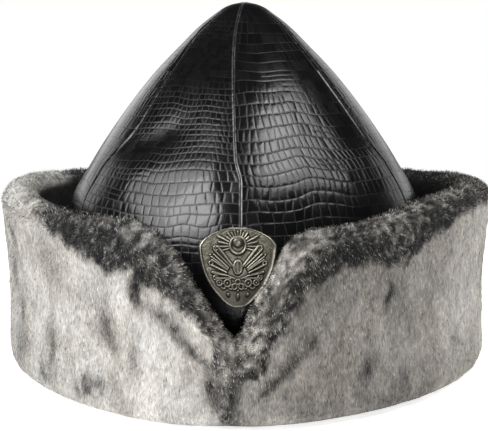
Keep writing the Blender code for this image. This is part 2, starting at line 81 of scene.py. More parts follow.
# Soft furrows and swells in the leather, each along a line; depth is inward
Furrow = namedtuple("Furrow", "azimuth_1 height_1 azimuth_2 height_2 half_width depth")
CROWN_FURROWS = table(
    Furrow,
    (-56.0, 0.088, -30.0, 0.106, 0.007, 0.0010), (46.0, 0.112, 56.0, 0.092, 0.006, 0.0005),
    (-14.0, 0.076, -6.0, 0.086, 0.006, 0.0004), (-40.0, 0.090, -11.0, 0.0895, 0.008, -0.0009),
    (2.0, 0.089, 36.0, 0.087, 0.008, -0.0009),
)

# Seams between the gores: azimuth against height
SeamRow = namedtuple("SeamRow", "height azimuth")
SEAM_FRONT = table(
    SeamRow,
    (0.000, -1.0), (0.087, -1.2), (0.096, -3.0), (0.110, -4.2), (0.129, -6.5), (0.155, -10.0),
    (0.162, -10.0),
)
SEAM_LEFT = table(
    SeamRow,
    (0.000, -58.0), (0.088, -57.5), (0.0975, -53.0), (0.104, -49.5), (0.111, -48.5),
    (0.1245, -49.0), (0.1365, -51.5), (0.1455, -56.0), (0.162, -60.0),
)
SEAM_RIGHT = table(
    SeamRow,
    (0.000, 58.5), (0.091, 57.5), (0.1005, 54.0), (0.1155, 51.5), (0.129, 50.5), (0.144, 51.0),
    (0.1545, 58.0), (0.162, 60.0),
)
SEAM_BACK_LEFT = table(SeamRow, (0.0, -118.0), (0.162, -118.0))
SEAM_BACK_RIGHT = table(SeamRow, (0.0, 118.0), (0.162, 118.0))
SEAM_BACK = table(SeamRow, (0.0, 180.0), (0.162, 180.0))
SEAM_BACK_FROM_LEFT = table(SeamRow, (0.0, -180.0), (0.162, -180.0))

# Embossed scales of each gore: height of a row and width of a scale, in mm along the leather
ScaleRow = namedtuple("ScaleRow", "height row_mm scale_mm")
SCALES_LEFT = table(
    ScaleRow,
    (0.0, 4.7, 4.3), (0.078, 4.6, 4.0), (0.090, 4.3, 3.0), (0.096, 3.3, 2.5), (0.162, 3.2, 2.3),
)
SCALES_RIGHT = table(
    ScaleRow,
    (0.0, 5.6, 4.4), (0.072, 5.5, 4.2), (0.085, 5.7, 3.0), (0.100, 5.3, 2.8), (0.162, 6.8, 3.0),
)
SCALES_SIDE = table(ScaleRow, (0.0, 6.0, 4.0), (0.100, 5.0, 3.4), (0.162, 5.0, 3.2))

# The last column is the side of the gore whose seam lip is raised and painted with a light highlight.
Gore = namedtuple("Gore", "name first second scales columns seed worn_side")
GORES = (
    Gore("crown_gore_front_left", SEAM_LEFT, SEAM_FRONT, SCALES_LEFT, 216, 11, 1),
    Gore("crown_gore_front_right", SEAM_FRONT, SEAM_RIGHT, SCALES_RIGHT, 216, 12, -1),
    Gore("crown_gore_left", SEAM_BACK_LEFT, SEAM_LEFT, SCALES_SIDE, 112, 13, 1),
    Gore("crown_gore_right", SEAM_RIGHT, SEAM_BACK_RIGHT, SCALES_SIDE, 112, 14, -1),
    Gore("crown_gore_back_left", SEAM_BACK_FROM_LEFT, SEAM_BACK_LEFT, SCALES_SIDE, 96, 15, 1),
    Gore("crown_gore_back_right", SEAM_BACK_RIGHT, SEAM_BACK, SCALES_SIDE, 96, 16, -1),
)

# Where the embossing is pressed flat: share of the row lines and of the upright lines that is left
Smooth = namedtuple("Smooth", "azimuth height half_azimuth half_height rows uprights")
SMOOTH_PLACES = table(
    Smooth,
    (-46.0, 0.098, 12.0, 0.006, 0.10, 0.05), (-34.0, 0.103, 9.0, 0.005, 0.10, 0.05),
    (-28.0, 0.136, 30.0, 0.017, 0.10, 0.10), (47.0, 0.105, 9.0, 0.010, 0.15, 0.10),
    (40.0, 0.125, 16.0, 0.016, 0.05, 0.05), (24.0, 0.150, 22.0, 0.012, 0.35, 0.0),
    (10.0, 0.133, 26.0, 0.012, 0.9, 0.1), (-3.0, 0.044, 26.0, 0.022, 0.15, 0.10),
    (46.0, 0.071, 16.0, 0.014, 0.20, 0.12), (-84.0, 0.110, 28.0, 0.075, 0.14, 0.10),
    (86.0, 0.110, 30.0, 0.075, 0.14, 0.10),
)
# Heights between which the scales fade out below the tip
SCALES_FADE = (0.150, 0.158)

# Cuff: its plan, the mm round it for each degree, and the height of its rim
CUFF_HALF_WIDTH = 0.1095
CUFF_HALF_DEPTH = CUFF_HALF_WIDTH * DEPTH_RATIO
CUFF_ARC = CUFF_HALF_WIDTH * math.radians(1.0) / MM
RimRow = namedtuple("RimRow", "azimuth height")
CUFF_RIM = table(
    RimRow,
    (-180.0, 0.0740), (-120.0, 0.0785), (-90.0, 0.0810), (-58.0, 0.0788), (-44.0, 0.0772),
    (-24.0, 0.0770), (-20.0, 0.0755), (-15.4, 0.0698), (-10.0, 0.0558), (-6.4, 0.0452),
    (-0.8, 0.0325), (1.7, 0.0450), (3.8, 0.0525), (7.1, 0.0615), (9.2, 0.0705), (12.0, 0.0740),
    (20.0, 0.0742), (30.0, 0.0768), (45.0, 0.0815), (60.0, 0.0832), (90.0, 0.0815), (120.0, 0.0785),
    (180.0, 0.0740),
)
# How far the fur reaches in from the rim, in mm
FUR_IN_FROM_RIM = 16.0

# How light the pile is round the cuff, from 0 to 1, on the left and on the right of the valley
ToneRow = namedtuple("ToneRow", "azimuth tone")
PILE_TONE_LEFT = table(
    ToneRow,
    (-180.0, 0.76), (-110.0, 0.75), (-75.0, 0.77), (-30.0, 0.80), (0.0, 0.79), (10.0, 0.79),
)
PILE_TONE_RIGHT = table(
    ToneRow,
    (-10.0, 0.61), (20.0, 0.57), (36.0, 0.57), (52.0, 0.77), (80.0, 0.92), (180.0, 0.74),
)
DARKEST = 0.04
# How light the rolled edge is, before its tufts
RIM_TONE = table(
    ToneRow,
    (-180.0, 0.05), (-126.0, 0.05), (-104.0, 0.88), (-60.0, 0.88), (-42.0, 0.05), (-32.0, -0.02),
    (-21.0, 0.06), (-11.0, 0.14), (-3.0, 0.20), (4.0, 0.28), (9.0, 0.26), (14.0, 0.16),
    (22.0, 0.08), (35.0, 0.08), (50.0, 0.13), (65.0, 0.26), (80.0, 0.38), (95.0, 0.26),
    (112.0, 0.10), (130.0, 0.05), (180.0, 0.05),
)
VALLEY_AZIMUTH = -3.0
# Where the pale turned-over part at the left end is: azimuths where it starts, is whole, thins and ends
LIGHT_CORNER = (-126.0, -104.0, -59.0, -42.0)

# Places where the nap turns and looks dark: azimuth, then mm; lean is mm sideways for each mm up
NapMark = namedtuple("NapMark", "azimuth height half_width half_height lean strength")
NAP_MARKS = table(
    NapMark,
    (-63.0, 63.0, 3.0, 8.0, -0.9, 0.6), (-63.0, 48.0, 4.0, 9.0, 0.0, 0.5),
    (-43.0, 59.5, 7.0, 10.0, 0.0, 0.45), (-20.0, 52.0, 2.5, 8.0, 0.0, 1.0),
    (-58.0, 34.0, 3.0, 6.0, 0.0, 0.6), (-59.0, 16.0, 10.0, 9.0, 0.0, 0.35),
    (-44.0, 22.0, 3.5, 12.0, 0.0, 0.6), (-47.0, 10.0, 3.0, 4.0, 0.0, 0.6),
    (-27.0, 34.0, 3.5, 8.0, -0.33, 0.65), (-30.0, 13.0, 6.0, 4.0, 0.0, 0.6),
    (-35.0, 10.0, 3.0, 3.0, 0.0, 0.5), (-32.0, 12.0, 1.5, 6.0, 0.0, 0.8),
    (-21.0, 26.5, 2.5, 6.0, 0.0, 0.5), (-13.8, 40.5, 3.0, 6.0, -0.8, 0.8),
    (-9.5, 31.0, 3.0, 6.5, -1.0, 0.8), (-6.0, 17.0, 3.0, 10.0, -0.2, 0.8),
    (-2.6, 12.0, 4.0, 18.0, 0.0, 0.7), (9.0, 50.0, 3.0, 6.0, 0.0, 0.6),
    (29.5, 48.0, 1.5, 4.0, 0.0, 0.9), (25.0, 20.5, 2.0, 4.0, 0.0, 0.6),
    (13.0, 34.0, 3.0, 2.5, 0.0, 0.5), (10.0, 28.0, 2.5, 7.0, 1.0, 0.45),
    (5.5, 19.0, 1.8, 7.0, 1.0, 0.7), (-82.0, 54.0, 4.0, 14.0, 0.0, 0.6),
    (-86.0, 24.0, 4.0, 9.0, 0.3, 0.45), (-104.0, 55.0, 6.0, 9.0, -0.4, 0.5),
    (-128.0, 30.0, 7.0, 10.0, 0.2, 0.45), (-150.0, 58.0, 6.0, 10.0, -0.3, 0.45),
    (-168.0, 25.0, 5.0, 12.0, 0.0, 0.5), (78.0, 34.0, 5.0, 12.0, 0.4, 0.4),
    (98.0, 52.0, 5.0, 9.0, 0.0, 0.45), (120.0, 24.0, 7.0, 8.0, -0.4, 0.45),
    (144.0, 50.0, 6.0, 10.0, 0.3, 0.45), (165.0, 38.0, 5.0, 12.0, 0.0, 0.4),
)
NAP_DARKENING = 0.46
NAP_DEEPENING = 0.40

# Height down to which the rolled, tufted edge of the cuff reaches, on each side of the V
RollRow = namedtuple("RollRow", "azimuth low")
ROLL_LEFT = table(
    RollRow,
    (-180.0, 0.0690), (-120.0, 0.0730), (-90.0, 0.0765), (-62.0, 0.0760), (-52.0, 0.0750),
    (-46.0, 0.0728), (-42.0, 0.0700), (-37.0, 0.0655), (-32.5, 0.0628), (-29.0, 0.0605),
    (-26.5, 0.0570), (-24.0, 0.0585), (-21.0, 0.0600), (-19.0, 0.0540), (-18.0, 0.0530),
    (-15.0, 0.0505), (-12.0, 0.0460), (-9.0, 0.0415), (-6.0, 0.0350), (-4.0, 0.0010),
    (10.0, 0.0010),
)
ROLL_RIGHT = table(
    RollRow,
    (-10.0, 0.0180), (2.0, 0.0200), (4.0, 0.0240), (5.0, 0.0325), (8.0, 0.0400), (9.0, 0.0475),
    (10.0, 0.0520), (13.0, 0.0550), (17.0, 0.0595), (21.0, 0.0610), (25.0, 0.0610), (30.0, 0.0595),
    (34.0, 0.0580), (37.0, 0.0625), (40.0, 0.0670), (44.0, 0.0700), (52.0, 0.0740), (60.0, 0.0765),
    (90.0, 0.0760), (180.0, 0.0690),
)
# Where the roll starts, in mm about that height, and how far from the rim it can reach over the top
ROLL_STARTS = (-2.4, 2.2)
ROLL_TOP = 20.0
# Light hair between the dark roll and the crease beside it, on the left of the V
STREAK_WIDTH = 3.4
STREAK_AZIMUTHS = (-20.0, -16.0, -7.0, -5.0)
STREAK_TOP = 60.0

HAIR_PIECES = (
    ("fur_pile_front_left", -62.0, VALLEY_AZIMUTH),
    ("fur_pile_front_right", VALLEY_AZIMUTH, 62.0),
    ("fur_pile_left", -180.0, -62.0),
    ("fur_pile_right", 62.0, 180.0),
)
HAIRS_PER_MM2 = 2.02
THINNED_BEHIND = 0.55
HAIRS_FROM_FOOT = 1.2
HAIRS_LOWEST = 0.0004
HAIR_LENGTH = 1.45
HAIR_ROOT_WIDTH = 0.00025
SPECK_SHARE = 0.07
FROSTED_SHARE = 0.38
FROSTING = (0.12, 0.86)
SKIN_VOXEL = 0.0020
# Hairs stand up near the rim, run along it on the left flap of the V, and are short beside the badge
UPRIGHT_FROM_RIM = (3.0, 11.0)
LEFT_FLAP_AZIMUTHS = (-24.0, -17.0, -4.0, -2.0)
LEFT_FLAP_FROM_RIM = (2.0, 5.0, 11.0, 17.0)
BADGE_SIDE_AZIMUTH = 8.0


def smooth_curve(rows, value, x):
    """A named column against the first one at x, on a curve through the rows that never overshoots them."""
    xs = np.array([row[0] for row in rows], float)
    ys = np.array([getattr(row, value) for row in rows], float)
    step = np.diff(xs)
    slope = np.diff(ys) / step
    same_way = slope[:-1] * slope[1:] > 0
    weight_1 = 2 * step[1:] + step[:-1]
    weight_2 = step[1:] + 2 * step[:-1]
    safe = np.where(same_way[:, None], np.stack([slope[:-1], slope[1:]], 1), 1.0)
    mean = (weight_1 + weight_2) / (weight_1 / safe[:, 0] + weight_2 / safe[:, 1])
    tangent = np.concatenate([slope[:1], np.where(same_way, mean, 0.0), slope[-1:]])
    x = np.asarray(x, float)
    i = np.clip(np.searchsorted(xs, x) - 1, 0, len(step) - 1)
    t = np.clip((x - xs[i]) / step[i], 0.0, 1.0)
    return (
        ys[i] * (1 + 2 * t) * (1 - t) ** 2
        + ys[i + 1] * t * t * (3 - 2 * t)
        + step[i] * (tangent[i] * t * (1 - t) ** 2 + tangent[i + 1] * t * t * (t - 1))
    )


def smooth_step(low, high, x):
    t = np.clip((x - low) / (high - low), 0.0, 1.0)
    return t * t * (3 - 2 * t)


def plateau(rise, top, end, fall, x):
    """0 outside rise and fall, 1 between top and end, smooth between them."""
    return smooth_step(rise, top, x) * (1 - smooth_step(end, fall, x))


def bell(x, half):
    return np.exp(-((x / half) ** 2))


def blend(a, b, share):
    return a + (b - a) * share


def unit(vectors):
    return vectors / np.maximum(np.linalg.norm(vectors, axis=-1, keepdims=True), 1e-12)


class Noise:
    """Seeded smooth noise from -1 to 1 over a plane, by blending a wrapped table of random values."""

    SIZE = 64

    def __init__(self, seed):
        self.table = np.random.default_rng(seed).uniform(-1, 1, (self.SIZE, self.SIZE))

    def __call__(self, x, y):
        i = np.floor(x).astype(int)
        j = np.floor(y).astype(int)
        u = smooth_step(0.0, 1.0, x - i)
        v = smooth_step(0.0, 1.0, y - j)
        i0, i1 = i % self.SIZE, (i + 1) % self.SIZE
        j0, j1 = j % self.SIZE, (j + 1) % self.SIZE
        t = self.table
        return (t[i0, j0] * (1 - u) + t[i1, j0] * u) * (1 - v) + (t[i0, j1] * (1 - u) + t[i1, j1] * u) * v


def mesh_from_arrays(name, points, face_groups):
    """A smooth mesh from points and arrays of faces, one array for each number of corners."""
    mesh = bpy.data.meshes.new(name)
    corners = np.concatenate([faces.ravel() for faces in face_groups]).astype(np.int32)
    sizes = np.concatenate([np.full(len(faces), faces.shape[1]) for faces in face_groups])
    starts = np.concatenate([[0], np.cumsum(sizes)[:-1]]).astype(np.int32)
    mesh.vertices.add(len(points))
    mesh.vertices.foreach_set("co", np.ascontiguousarray(points, np.float32).ravel())
    mesh.loops.add(len(corners))
    mesh.loops.foreach_set("vertex_index", corners)
    mesh.polygons.add(len(sizes))
    mesh.polygons.foreach_set("loop_start", starts)
    mesh.update(calc_edges=True)
    mesh.validate()
    mesh.shade_smooth()
    return mesh


def mesh_arrays(mesh):
    """Places and normals of a mesh's points."""
    arrays = []
    for key in ("co", "normal"):
        values = np.empty(len(mesh.vertices) * 3, np.float32)
        mesh.vertices.foreach_get(key, values)
        arrays.append(values.reshape(-1, 3).astype(float))
    return arrays


def add_attribute(mesh, name, values):
    """A value for each point of a mesh; points past the last value get 0."""
    padded = np.zeros(len(mesh.vertices), np.float32)
    padded[:len(values)] = values
    mesh.attributes.new(name, "FLOAT", "POINT").data.foreach_set("value", padded)


def new_object(name, data):
    made = bpy.data.objects.new(name, data)
    bpy.context.scene.collection.objects.link(made)
    return made


def new_piece(name, mesh, materials, slot, *nodes):
    """An object in the scene that rides on the hat and stands for CAD nodes, which it hides. The slot is not
    used.
    """
    piece = new_object(name, mesh)
    for material in materials:
        mesh.materials.append(material)
    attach(piece, "root")
    if nodes:
        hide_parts(*nodes)
    return piece


def reshaped(node, name, *modifiers):
    """A new mesh with no material: a CAD node's mesh after modifiers, which act on a copy."""
    guide = new_object("guide", bpy.data.objects[node].data.copy())
    for kind, settings in modifiers:
        modifier = guide.modifiers.new(kind, kind)
        for key, value in settings.items():
            setattr(modifier, key, value)
    mesh = bpy.data.meshes.new_from_object(guide.evaluated_get(bpy.context.evaluated_depsgraph_get()))
    bpy.data.objects.remove(guide)
    mesh.name = name
    mesh.materials.clear()
    return mesh


# Materials


WHITE = (1.0, 1.0, 1.0)
SOCKETS = {
    "color": "Base Color",
    "specular": "Specular IOR Level",
    "sheen": "Sheen Weight",
    "sheen_roughness": "Sheen Roughness",
}


class Nodes:
    """Short calls that build the node tree of a material or a world."""

    def __init__(self, owner):
        self.owner = owner
        owner.use_nodes = True
        self.tree = owner.node_tree
        self.shader = self.tree.nodes.get("Principled BSDF")

    def link(self, value, socket):
        """Link an output into a socket, or set the socket where value is a number or a colour."""
        if isinstance(value, bpy.types.NodeSocket):
            self.tree.links.new(value, socket)
        elif isinstance(value, tuple):
            socket.default_value = (*value, 1.0)
        else:
            socket.default_value = value

    def add(self, kind, inputs=(), **settings):
        """A node with its settings, and its inputs by name or number."""
        node = self.tree.nodes.new(kind)
        for key, value in settings.items():
            setattr(node, key, value)
        for key, value in dict(inputs).items():
            self.link(value, node.inputs[key])
        return node

    def set(self, **values):
        for key, value in values.items():
            self.link(value, self.shader.inputs[SOCKETS.get(key, key.title())])

    def attribute(self, name):
        return self.add("ShaderNodeAttribute", attribute_name=name).outputs["Fac"]

    def place(self, scale=(1, 1, 1)):
        """Places on the object, scaled along each axis."""
        coords = self.add("ShaderNodeTexCoord").outputs["Object"]
        mapping = self.add("ShaderNodeMapping", {"Vector": coords})
        mapping.inputs["Scale"].default_value = scale
        return mapping.outputs["Vector"]

    def split(self, vector):
        return self.add("ShaderNodeSeparateXYZ", {0: vector}).outputs

    def noise(self, vector, scale, detail=4.0, roughness=0.55):
        inputs = {"Vector": vector, "Scale": scale, "Detail": detail, "Roughness": roughness}
        return self.add("ShaderNodeTexNoise", inputs).outputs["Fac"]

    def wave(self, vector, scale, direction):
        inputs = {"Vector": vector, "Scale": scale}
        return self.add("ShaderNodeTexWave", inputs, bands_direction=direction).outputs["Fac"]

    def math(self, operation, *values, clamp=False):
        return self.add("ShaderNodeMath", enumerate(values), operation=operation, use_clamp=clamp).outputs[0]

    def remap(self, value, low, high, to_low, to_high, kind="LINEAR"):
        inputs = {"Value": value, "From Min": low, "From Max": high, "To Min": to_low, "To Max": to_high}
        return self.add("ShaderNodeMapRange", inputs, interpolation_type=kind).outputs["Result"]

    def mix(self, factor, a, b, blend_type="MIX"):
        inputs = {"Factor": factor, "A": a, "B": b}
        return self.add("ShaderNodeMix", inputs, data_type="RGBA", blend_type=blend_type).outputs["Result"]

    def ramp(self, value, stops):
        node = self.add("ShaderNodeValToRGB", {"Fac": value})
        elements = node.color_ramp.elements
        for i, (position, color) in enumerate(stops):
            element = elements[i] if i < 2 else elements.new(position)
            element.position = position
            element.color = (*color, 1.0)
        return node.outputs["Color"]

    def bump(self, height, strength, distance, normal=None):
        inputs = {"Strength": strength, "Distance": distance, "Height": height}
        if normal is not None:
            inputs["Normal"] = normal
        return self.add("ShaderNodeBump", inputs).outputs["Normal"]


def new_look(name):
    return Nodes(bpy.data.materials.new(name))


def leather_material():
    """Black glossy leather: the scales shine, the grooves between them are dull and a little dusty."""
    look = new_look("embossed_leather_look")
    groove, tone, worn = (look.attribute(name) for name in ("groove", "scale_tone", "worn"))
    place = look.place()
    fine = look.noise(place, 900.0, 5.0)
    patches = look.remap(look.noise(place, 60.0, 3.0), 0.3, 0.7, 0.0, 0.5)
    color = look.mix(tone, (0.0030, 0.0032, 0.0034), (0.0060, 0.0060, 0.0057))
    color = look.mix(groove, color, (0.013, 0.014, 0.014))
    color = look.mix(patches, color, (0.0045, 0.0045, 0.0043))
    # The seam lip gets a light colour: a painted highlight for its shine.
    look.set(color=look.mix(worn, color, (0.30, 0.30, 0.29)), specular=0.55)
    rough = look.math("ADD", look.remap(fine, 0.3, 0.7, 0.0, 0.06), look.remap(tone, 0.0, 1.0, 0.11, 0.20))
    look.set(roughness=look.math("ADD", rough, look.math("MULTIPLY", groove, 0.34), clamp=True))
    pores = look.bump(fine, 0.10, 0.0003)
    look.set(normal=look.bump(look.noise(place, 260.0, 3.0), 0.05, 0.0008, pores))
    return look.owner


def suede_material():
    """The dark flesh side of the leather, inside the crown."""
    look = new_look("leather_flesh_side")
    grain = look.noise(look.place(), 700.0, 6.0)
    look.set(color=look.mix(grain, (0.020, 0.018, 0.016), (0.050, 0.045, 0.040)), roughness=0.9)
    look.set(specular=0.2, normal=look.bump(grain, 0.4, 0.0004))
    return look.owner


FUR_RAMP = (
    (0.0, (0.010, 0.010, 0.011)),
    (0.22, (0.045, 0.044, 0.044)),
    (0.45, (0.175, 0.168, 0.158)),
    (0.70, (0.42, 0.405, 0.38)),
    (1.0, (0.86, 0.85, 0.83)),
)
COOL_TINT = (0.97, 0.985, 1.0)
WARM_TINT = (1.0, 0.965, 0.905)


def set_fur(look, tone, warmth, **finish):
    tint = look.mix(warmth, COOL_TINT, WARM_TINT)
    look.set(color=look.mix(1.0, look.ramp(tone, FUR_RAMP), tint, "MULTIPLY"), **finish)


def strand_material():
    """Pile hairs: the hairs' UV map holds how light each is along its length, and how warm."""
    look = new_look("fur_strand_look")
    parts = look.split(look.add("ShaderNodeUVMap", uv_map="OFBake").outputs["UV"])
    set_fur(look, parts["X"], parts["Y"], roughness=0.72, specular=0.12, sheen=0.04, sheen_roughness=0.5)
    return look.owner


def pile_material():
    """The dense short pile under the longer hairs: toned like them, with a fine upright nap."""
    look = new_look("fur_pile_look")
    nap = look.noise(look.place((1.0, 1.0, 0.28)), 1500.0, 5.0, 0.7)
    tone = look.math("ADD", look.attribute("tone"), look.remap(nap, 0.25, 0.75, -0.20, 0.12), clamp=True)
    warmth = look.attribute("warmth")
    set_fur(look, tone, warmth, roughness=0.95, specular=0.1, sheen=0.05, sheen_roughness=0.6)
    look.set(normal=look.bump(nap, 0.7, 0.0008))
    return look.owner


def facing_material():
    """Black woven cloth."""
    look = new_look("black_cloth_look")
    place = look.place()
    threads = look.math("MULTIPLY", look.wave(place, 420.0, "Z"), look.wave(place, 380.0, "DIAGONAL"))
    look.set(color=look.mix(threads, (0.006, 0.006, 0.007), (0.026, 0.026, 0.028)), roughness=0.85)
    look.set(specular=0.25, sheen=0.3, normal=look.bump(threads, 0.6, 0.0003))
    return look.owner


def pewter_material():
    """Aged casting metal: dark in its recesses and towards the bottom of the badge, rubbed bright on the
    relief.
    """
    look = new_look("aged_pewter_look")
    recess, rubbed = look.attribute("recess"), look.attribute("rubbed")
    place = look.place()
    patches = look.remap(look.noise(place, 240.0, 4.0), 0.3, 0.7, 0.0, 1.0)
    fine = look.noise(place, 1500.0, 4.0)
    color = look.mix(patches, (0.13, 0.122, 0.094), (0.21, 0.198, 0.155))
    color = look.mix(rubbed, color, (0.86, 0.83, 0.70))
    color = look.mix(recess, color, (0.012, 0.011, 0.008))
    look.set(color=color, metallic=look.remap(recess, 0.0, 1.0, 1.0, 0.3))
    rough = look.remap(fine, 0.3, 0.7, 0.30, 0.46)
    look.set(roughness=look.math("ADD", rough, look.math("MULTIPLY", recess, 0.35), clamp=True))
    look.set(normal=look.bump(fine, 0.15, 0.0002))
    return look.owner


def steel_material():
    look = new_look("clutch_steel_look")
    fine = look.noise(look.place((1.0, 1.0, 6.0)), 900.0, 3.0)
    look.set(color=look.mix(fine, (0.42, 0.41, 0.39), (0.58, 0.57, 0.55)), metallic=1.0)
    look.set(roughness=look.remap(fine, 0.3, 0.7, 0.32, 0.48), normal=look.bump(fine, 0.1, 0.0002))
    return look.owner


def floor_material():
    look = new_look("floor_look")
    color = look.mix(look.noise(look.place(), 3.0), (0.86, 0.86, 0.86), (0.88, 0.88, 0.88))
    look.set(color=color, roughness=0.9, specular=0.1)
    look.link(WHITE, look.shader.inputs["Emission Color"])
    look.link(FLOOR_GLOW, look.shader.inputs["Emission Strength"])
    return look.owner


# Crown


def six_sided(azimuth, squareness):
    """Radius of a rounded six-sided section in each direction, as a share of its radius at the front seam."""

    def support(angle):
        terms = [np.maximum(0.0, np.cos(angle - middle)) ** squareness for middle in GORE_MIDDLES]
        return np.sum(terms, axis=0)

    return (support(0.0) / support(azimuth)) ** (1.0 / squareness)


def furrow_depth(azimuth, height, radius):
    depth = np.zeros_like(height)
    arc = math.radians(1.0) * radius
    for row in CROWN_FURROWS:
        along_x, along_z = (row.azimuth_2 - row.azimuth_1) * arc, row.height_2 - row.height_1
        x, z = (azimuth - row.azimuth_1) * arc, height - row.height_1
        share = np.clip((x * along_x + z * along_z) / (along_x ** 2 + along_z ** 2), 0.0, 1.0)
        distance = np.hypot(x - along_x * share, z - along_z * share)
        depth += row.depth * bell(distance, row.half_width)
    return depth


def crown_surface(azimuth, height):
    """Points of the crown's outer face, for azimuths in degrees and heights in metres."""
    azimuth, height = np.broadcast_arrays(np.asarray(azimuth, float), np.asarray(height, float))
    height = np.clip(height, CROWN_HEM, HAT_HEIGHT)
    radius = smooth_curve(CROWN_PROFILE, "radius", height)
    squareness = smooth_curve(CROWN_PROFILE, "squareness", height)
    furrows = furrow_depth(azimuth, height, np.maximum(radius, LEAST_ARC_RADIUS))
    radius = radius - furrows * smooth_step(*FURROWS_FADE, radius)
    turn = np.radians(azimuth)
    radius = radius * six_sided(turn, squareness)
    x = AXIS_X + radius * np.sin(turn)
    y = AXIS_Y - radius * DEPTH_RATIO * np.cos(turn)
    return np.stack([x, y, height], -1)


def crown_normals(azimuth, height, turn=0.25, rise=0.0008):
    """Outward normals, from the surface a small turn and rise away."""
    d_azimuth = crown_surface(azimuth + turn, height) - crown_surface(azimuth - turn, height)
    low = np.clip(height - rise / 2, CROWN_HEM, HAT_HEIGHT - rise)
    d_height = crown_surface(azimuth, low + rise) - crown_surface(azimuth, low)
    return unit(np.cross(d_azimuth, d_height))


ScaleBand = namedtuple("ScaleBand", "low high uprights slants split bulge tone tilt")


class GoreSheet:
    """One gore's outer face as a grid whose lines follow the rows and the sides of its scales, in mm."""

    GROOVE_HALF = 0.24
    SHOULDER = 0.60
    WAVE = 2.0
    FAR = 9.0
    MOST_HALVINGS = 3

    WIDE_SHARE = 0.08
    WIDE = 1.6
    MOST_SLANT = 0.28
    SPLIT_SHARE = 0.45
    SPLIT_LEAST_HEIGHT = 4.0
    SPLIT_LEAST_WIDTH = 30
    SPLIT_END = 1.5

    PILLOW = 0.046
    LEAN = 0.052
    GROOVE_DEPTH = 0.070
    SEAM_ROLL = 0.34
    SEAM_LIP = 0.04
    PUCKER = 0.05
    WAVER = 0.018

    def __init__(self, gore):
        self.gore = gore
        self.rng = np.random.default_rng(gore.seed)
        self.waves = Noise(gore.seed + 100)
        self.measure()
        self.lay_rows()
        self.lay_points()

    def edges(self, height):
        return [smooth_curve(seam, "azimuth", height) for seam in (self.gore.first, self.gore.second)]

    def measure(self):
        """Length up the middle of the gore, and its width, against height."""
        self.run_heights = np.linspace(CROWN_HEM, HAT_HEIGHT - 0.00005, 600)
        first, second = self.edges(self.run_heights)
        middle = crown_surface((first + second) / 2, self.run_heights)
        steps = np.linalg.norm(np.diff(middle, axis=0), axis=1)
        self.run = np.concatenate([[0.0], np.cumsum(steps)]) / MM
        across = crown_surface(blend(first, second, np.linspace(0, 1, 13)[:, None]), self.run_heights)
        self.widths = np.linalg.norm(np.diff(across, axis=0), axis=2).sum(0) / MM

    def height_at(self, run):
        return np.interp(run, self.run, self.run_heights)

    def width_at(self, run):
        return np.maximum(np.interp(run, self.run, self.widths), 0.05)

    def lay_rows(self):
        """Rows of scales from the hem to the tip."""
        self.rows = []
        low, tip = 0.0, self.run[-1]
        while low < tip - 1.0:
            tall = float(smooth_curve(self.gore.scales, "row_mm", self.height_at(low)))
            high = low + tall * self.rng.uniform(0.86, 1.14)
            if high > tip - 2.0:
                high = tip
            self.rows.append(self.scale_row(low, high))
            low = high

    def scale_row(self, low, high):
        """One row: its upright lines and their slants, where it is split in two, and how its scales stand."""
        uniform = self.rng.uniform
        middle = (low + high) / 2
        width = float(self.width_at(middle))
        pitch = float(smooth_curve(self.gore.scales, "scale_mm", self.height_at(middle)))
        uprights = []
        place = -width / 2 + pitch * uniform(0.4, 1.0)
        while place < width / 2 - pitch * 0.5:
            uprights.append(place)
            wide = self.WIDE if self.rng.random() < self.WIDE_SHARE else 1.0
            place += pitch * wide * uniform(0.74, 1.26)
        slants = uniform(-self.MOST_SLANT, self.MOST_SLANT, len(uprights)) * pitch
        split = None
        room = high - low > self.SPLIT_LEAST_HEIGHT and width > self.SPLIT_LEAST_WIDTH
        if self.rng.random() < self.SPLIT_SHARE and room:
            start = uniform(-width / 2, width / 2 - 12)
            split = (start, start + uniform(10, 26))
        count = len(uprights) + 1
        bulge, tone, tilt = uniform(0.6, 1.3, count), uniform(0.0, 1.0, count), uniform(-1.0, 1.0, count)
        return ScaleBand(low, high, np.array(uprights), slants, split, bulge, tone, tilt)

    def lines_in(self, row):
        """Mesh lines of a row of scales, close together at its edges and at its split."""
        tall = row.high - row.low
        half = tall / 2
        groove, shoulder = self.GROOVE_HALF, self.SHOULDER
        if row.split:
            middle = [half - shoulder, half - groove, half, half + groove, half + shoulder]
        else:
            middle = np.linspace(shoulder, tall - shoulder, 5)[1:-1]
        return np.array([0.0, groove, shoulder, *middle, tall - shoulder, tall - groove]) + row.low

    def upright_lines(self, row, run):
        """Places of a row's upright lines where a mesh line crosses them."""
        return row.uprights + row.slants * ((run - row.low) / (row.high - row.low) - 0.5)

    def snapped(self, row, run, width, count):
        """Places across the row of the points of one mesh line, with one on each upright line."""
        step = width / count
        half = min(self.GROOVE_HALF, step * 0.8)
        keys, values = [0], [-width / 2]
        for place in self.upright_lines(row, run):
            index = int(round((place + width / 2) / step))
            if index - keys[-1] >= 3 and index <= count - 3:
                keys += [index - 1, index, index + 1]
                values += [place - half, place, place + half]
        return np.interp(np.arange(count + 1), [*keys, count], [*values, width / 2])

    def find_scale(self, u, run, row):
        """Which scale each place of a mesh line is on, and how far its left, right and row grooves are."""
        lines = self.upright_lines(row, run)
        cell = np.searchsorted(lines, u)
        beside = np.pad(lines, 1)
        left = np.where(cell > 0, u - beside[cell], self.FAR)
        right = np.where(cell < len(lines), beside[cell + 1] - u, self.FAR)
        from_row = np.full_like(u, min(run - row.low, row.high - run))
        if row.split:
            start, end = row.split
            in_split = plateau(start, start + self.SPLIT_END, end - self.SPLIT_END, end, u)
            from_split = np.abs(run - (row.low + row.high) / 2)
            from_row = np.minimum(from_row, from_split + self.FAR * (1 - in_split))
        return cell, left, right, from_row

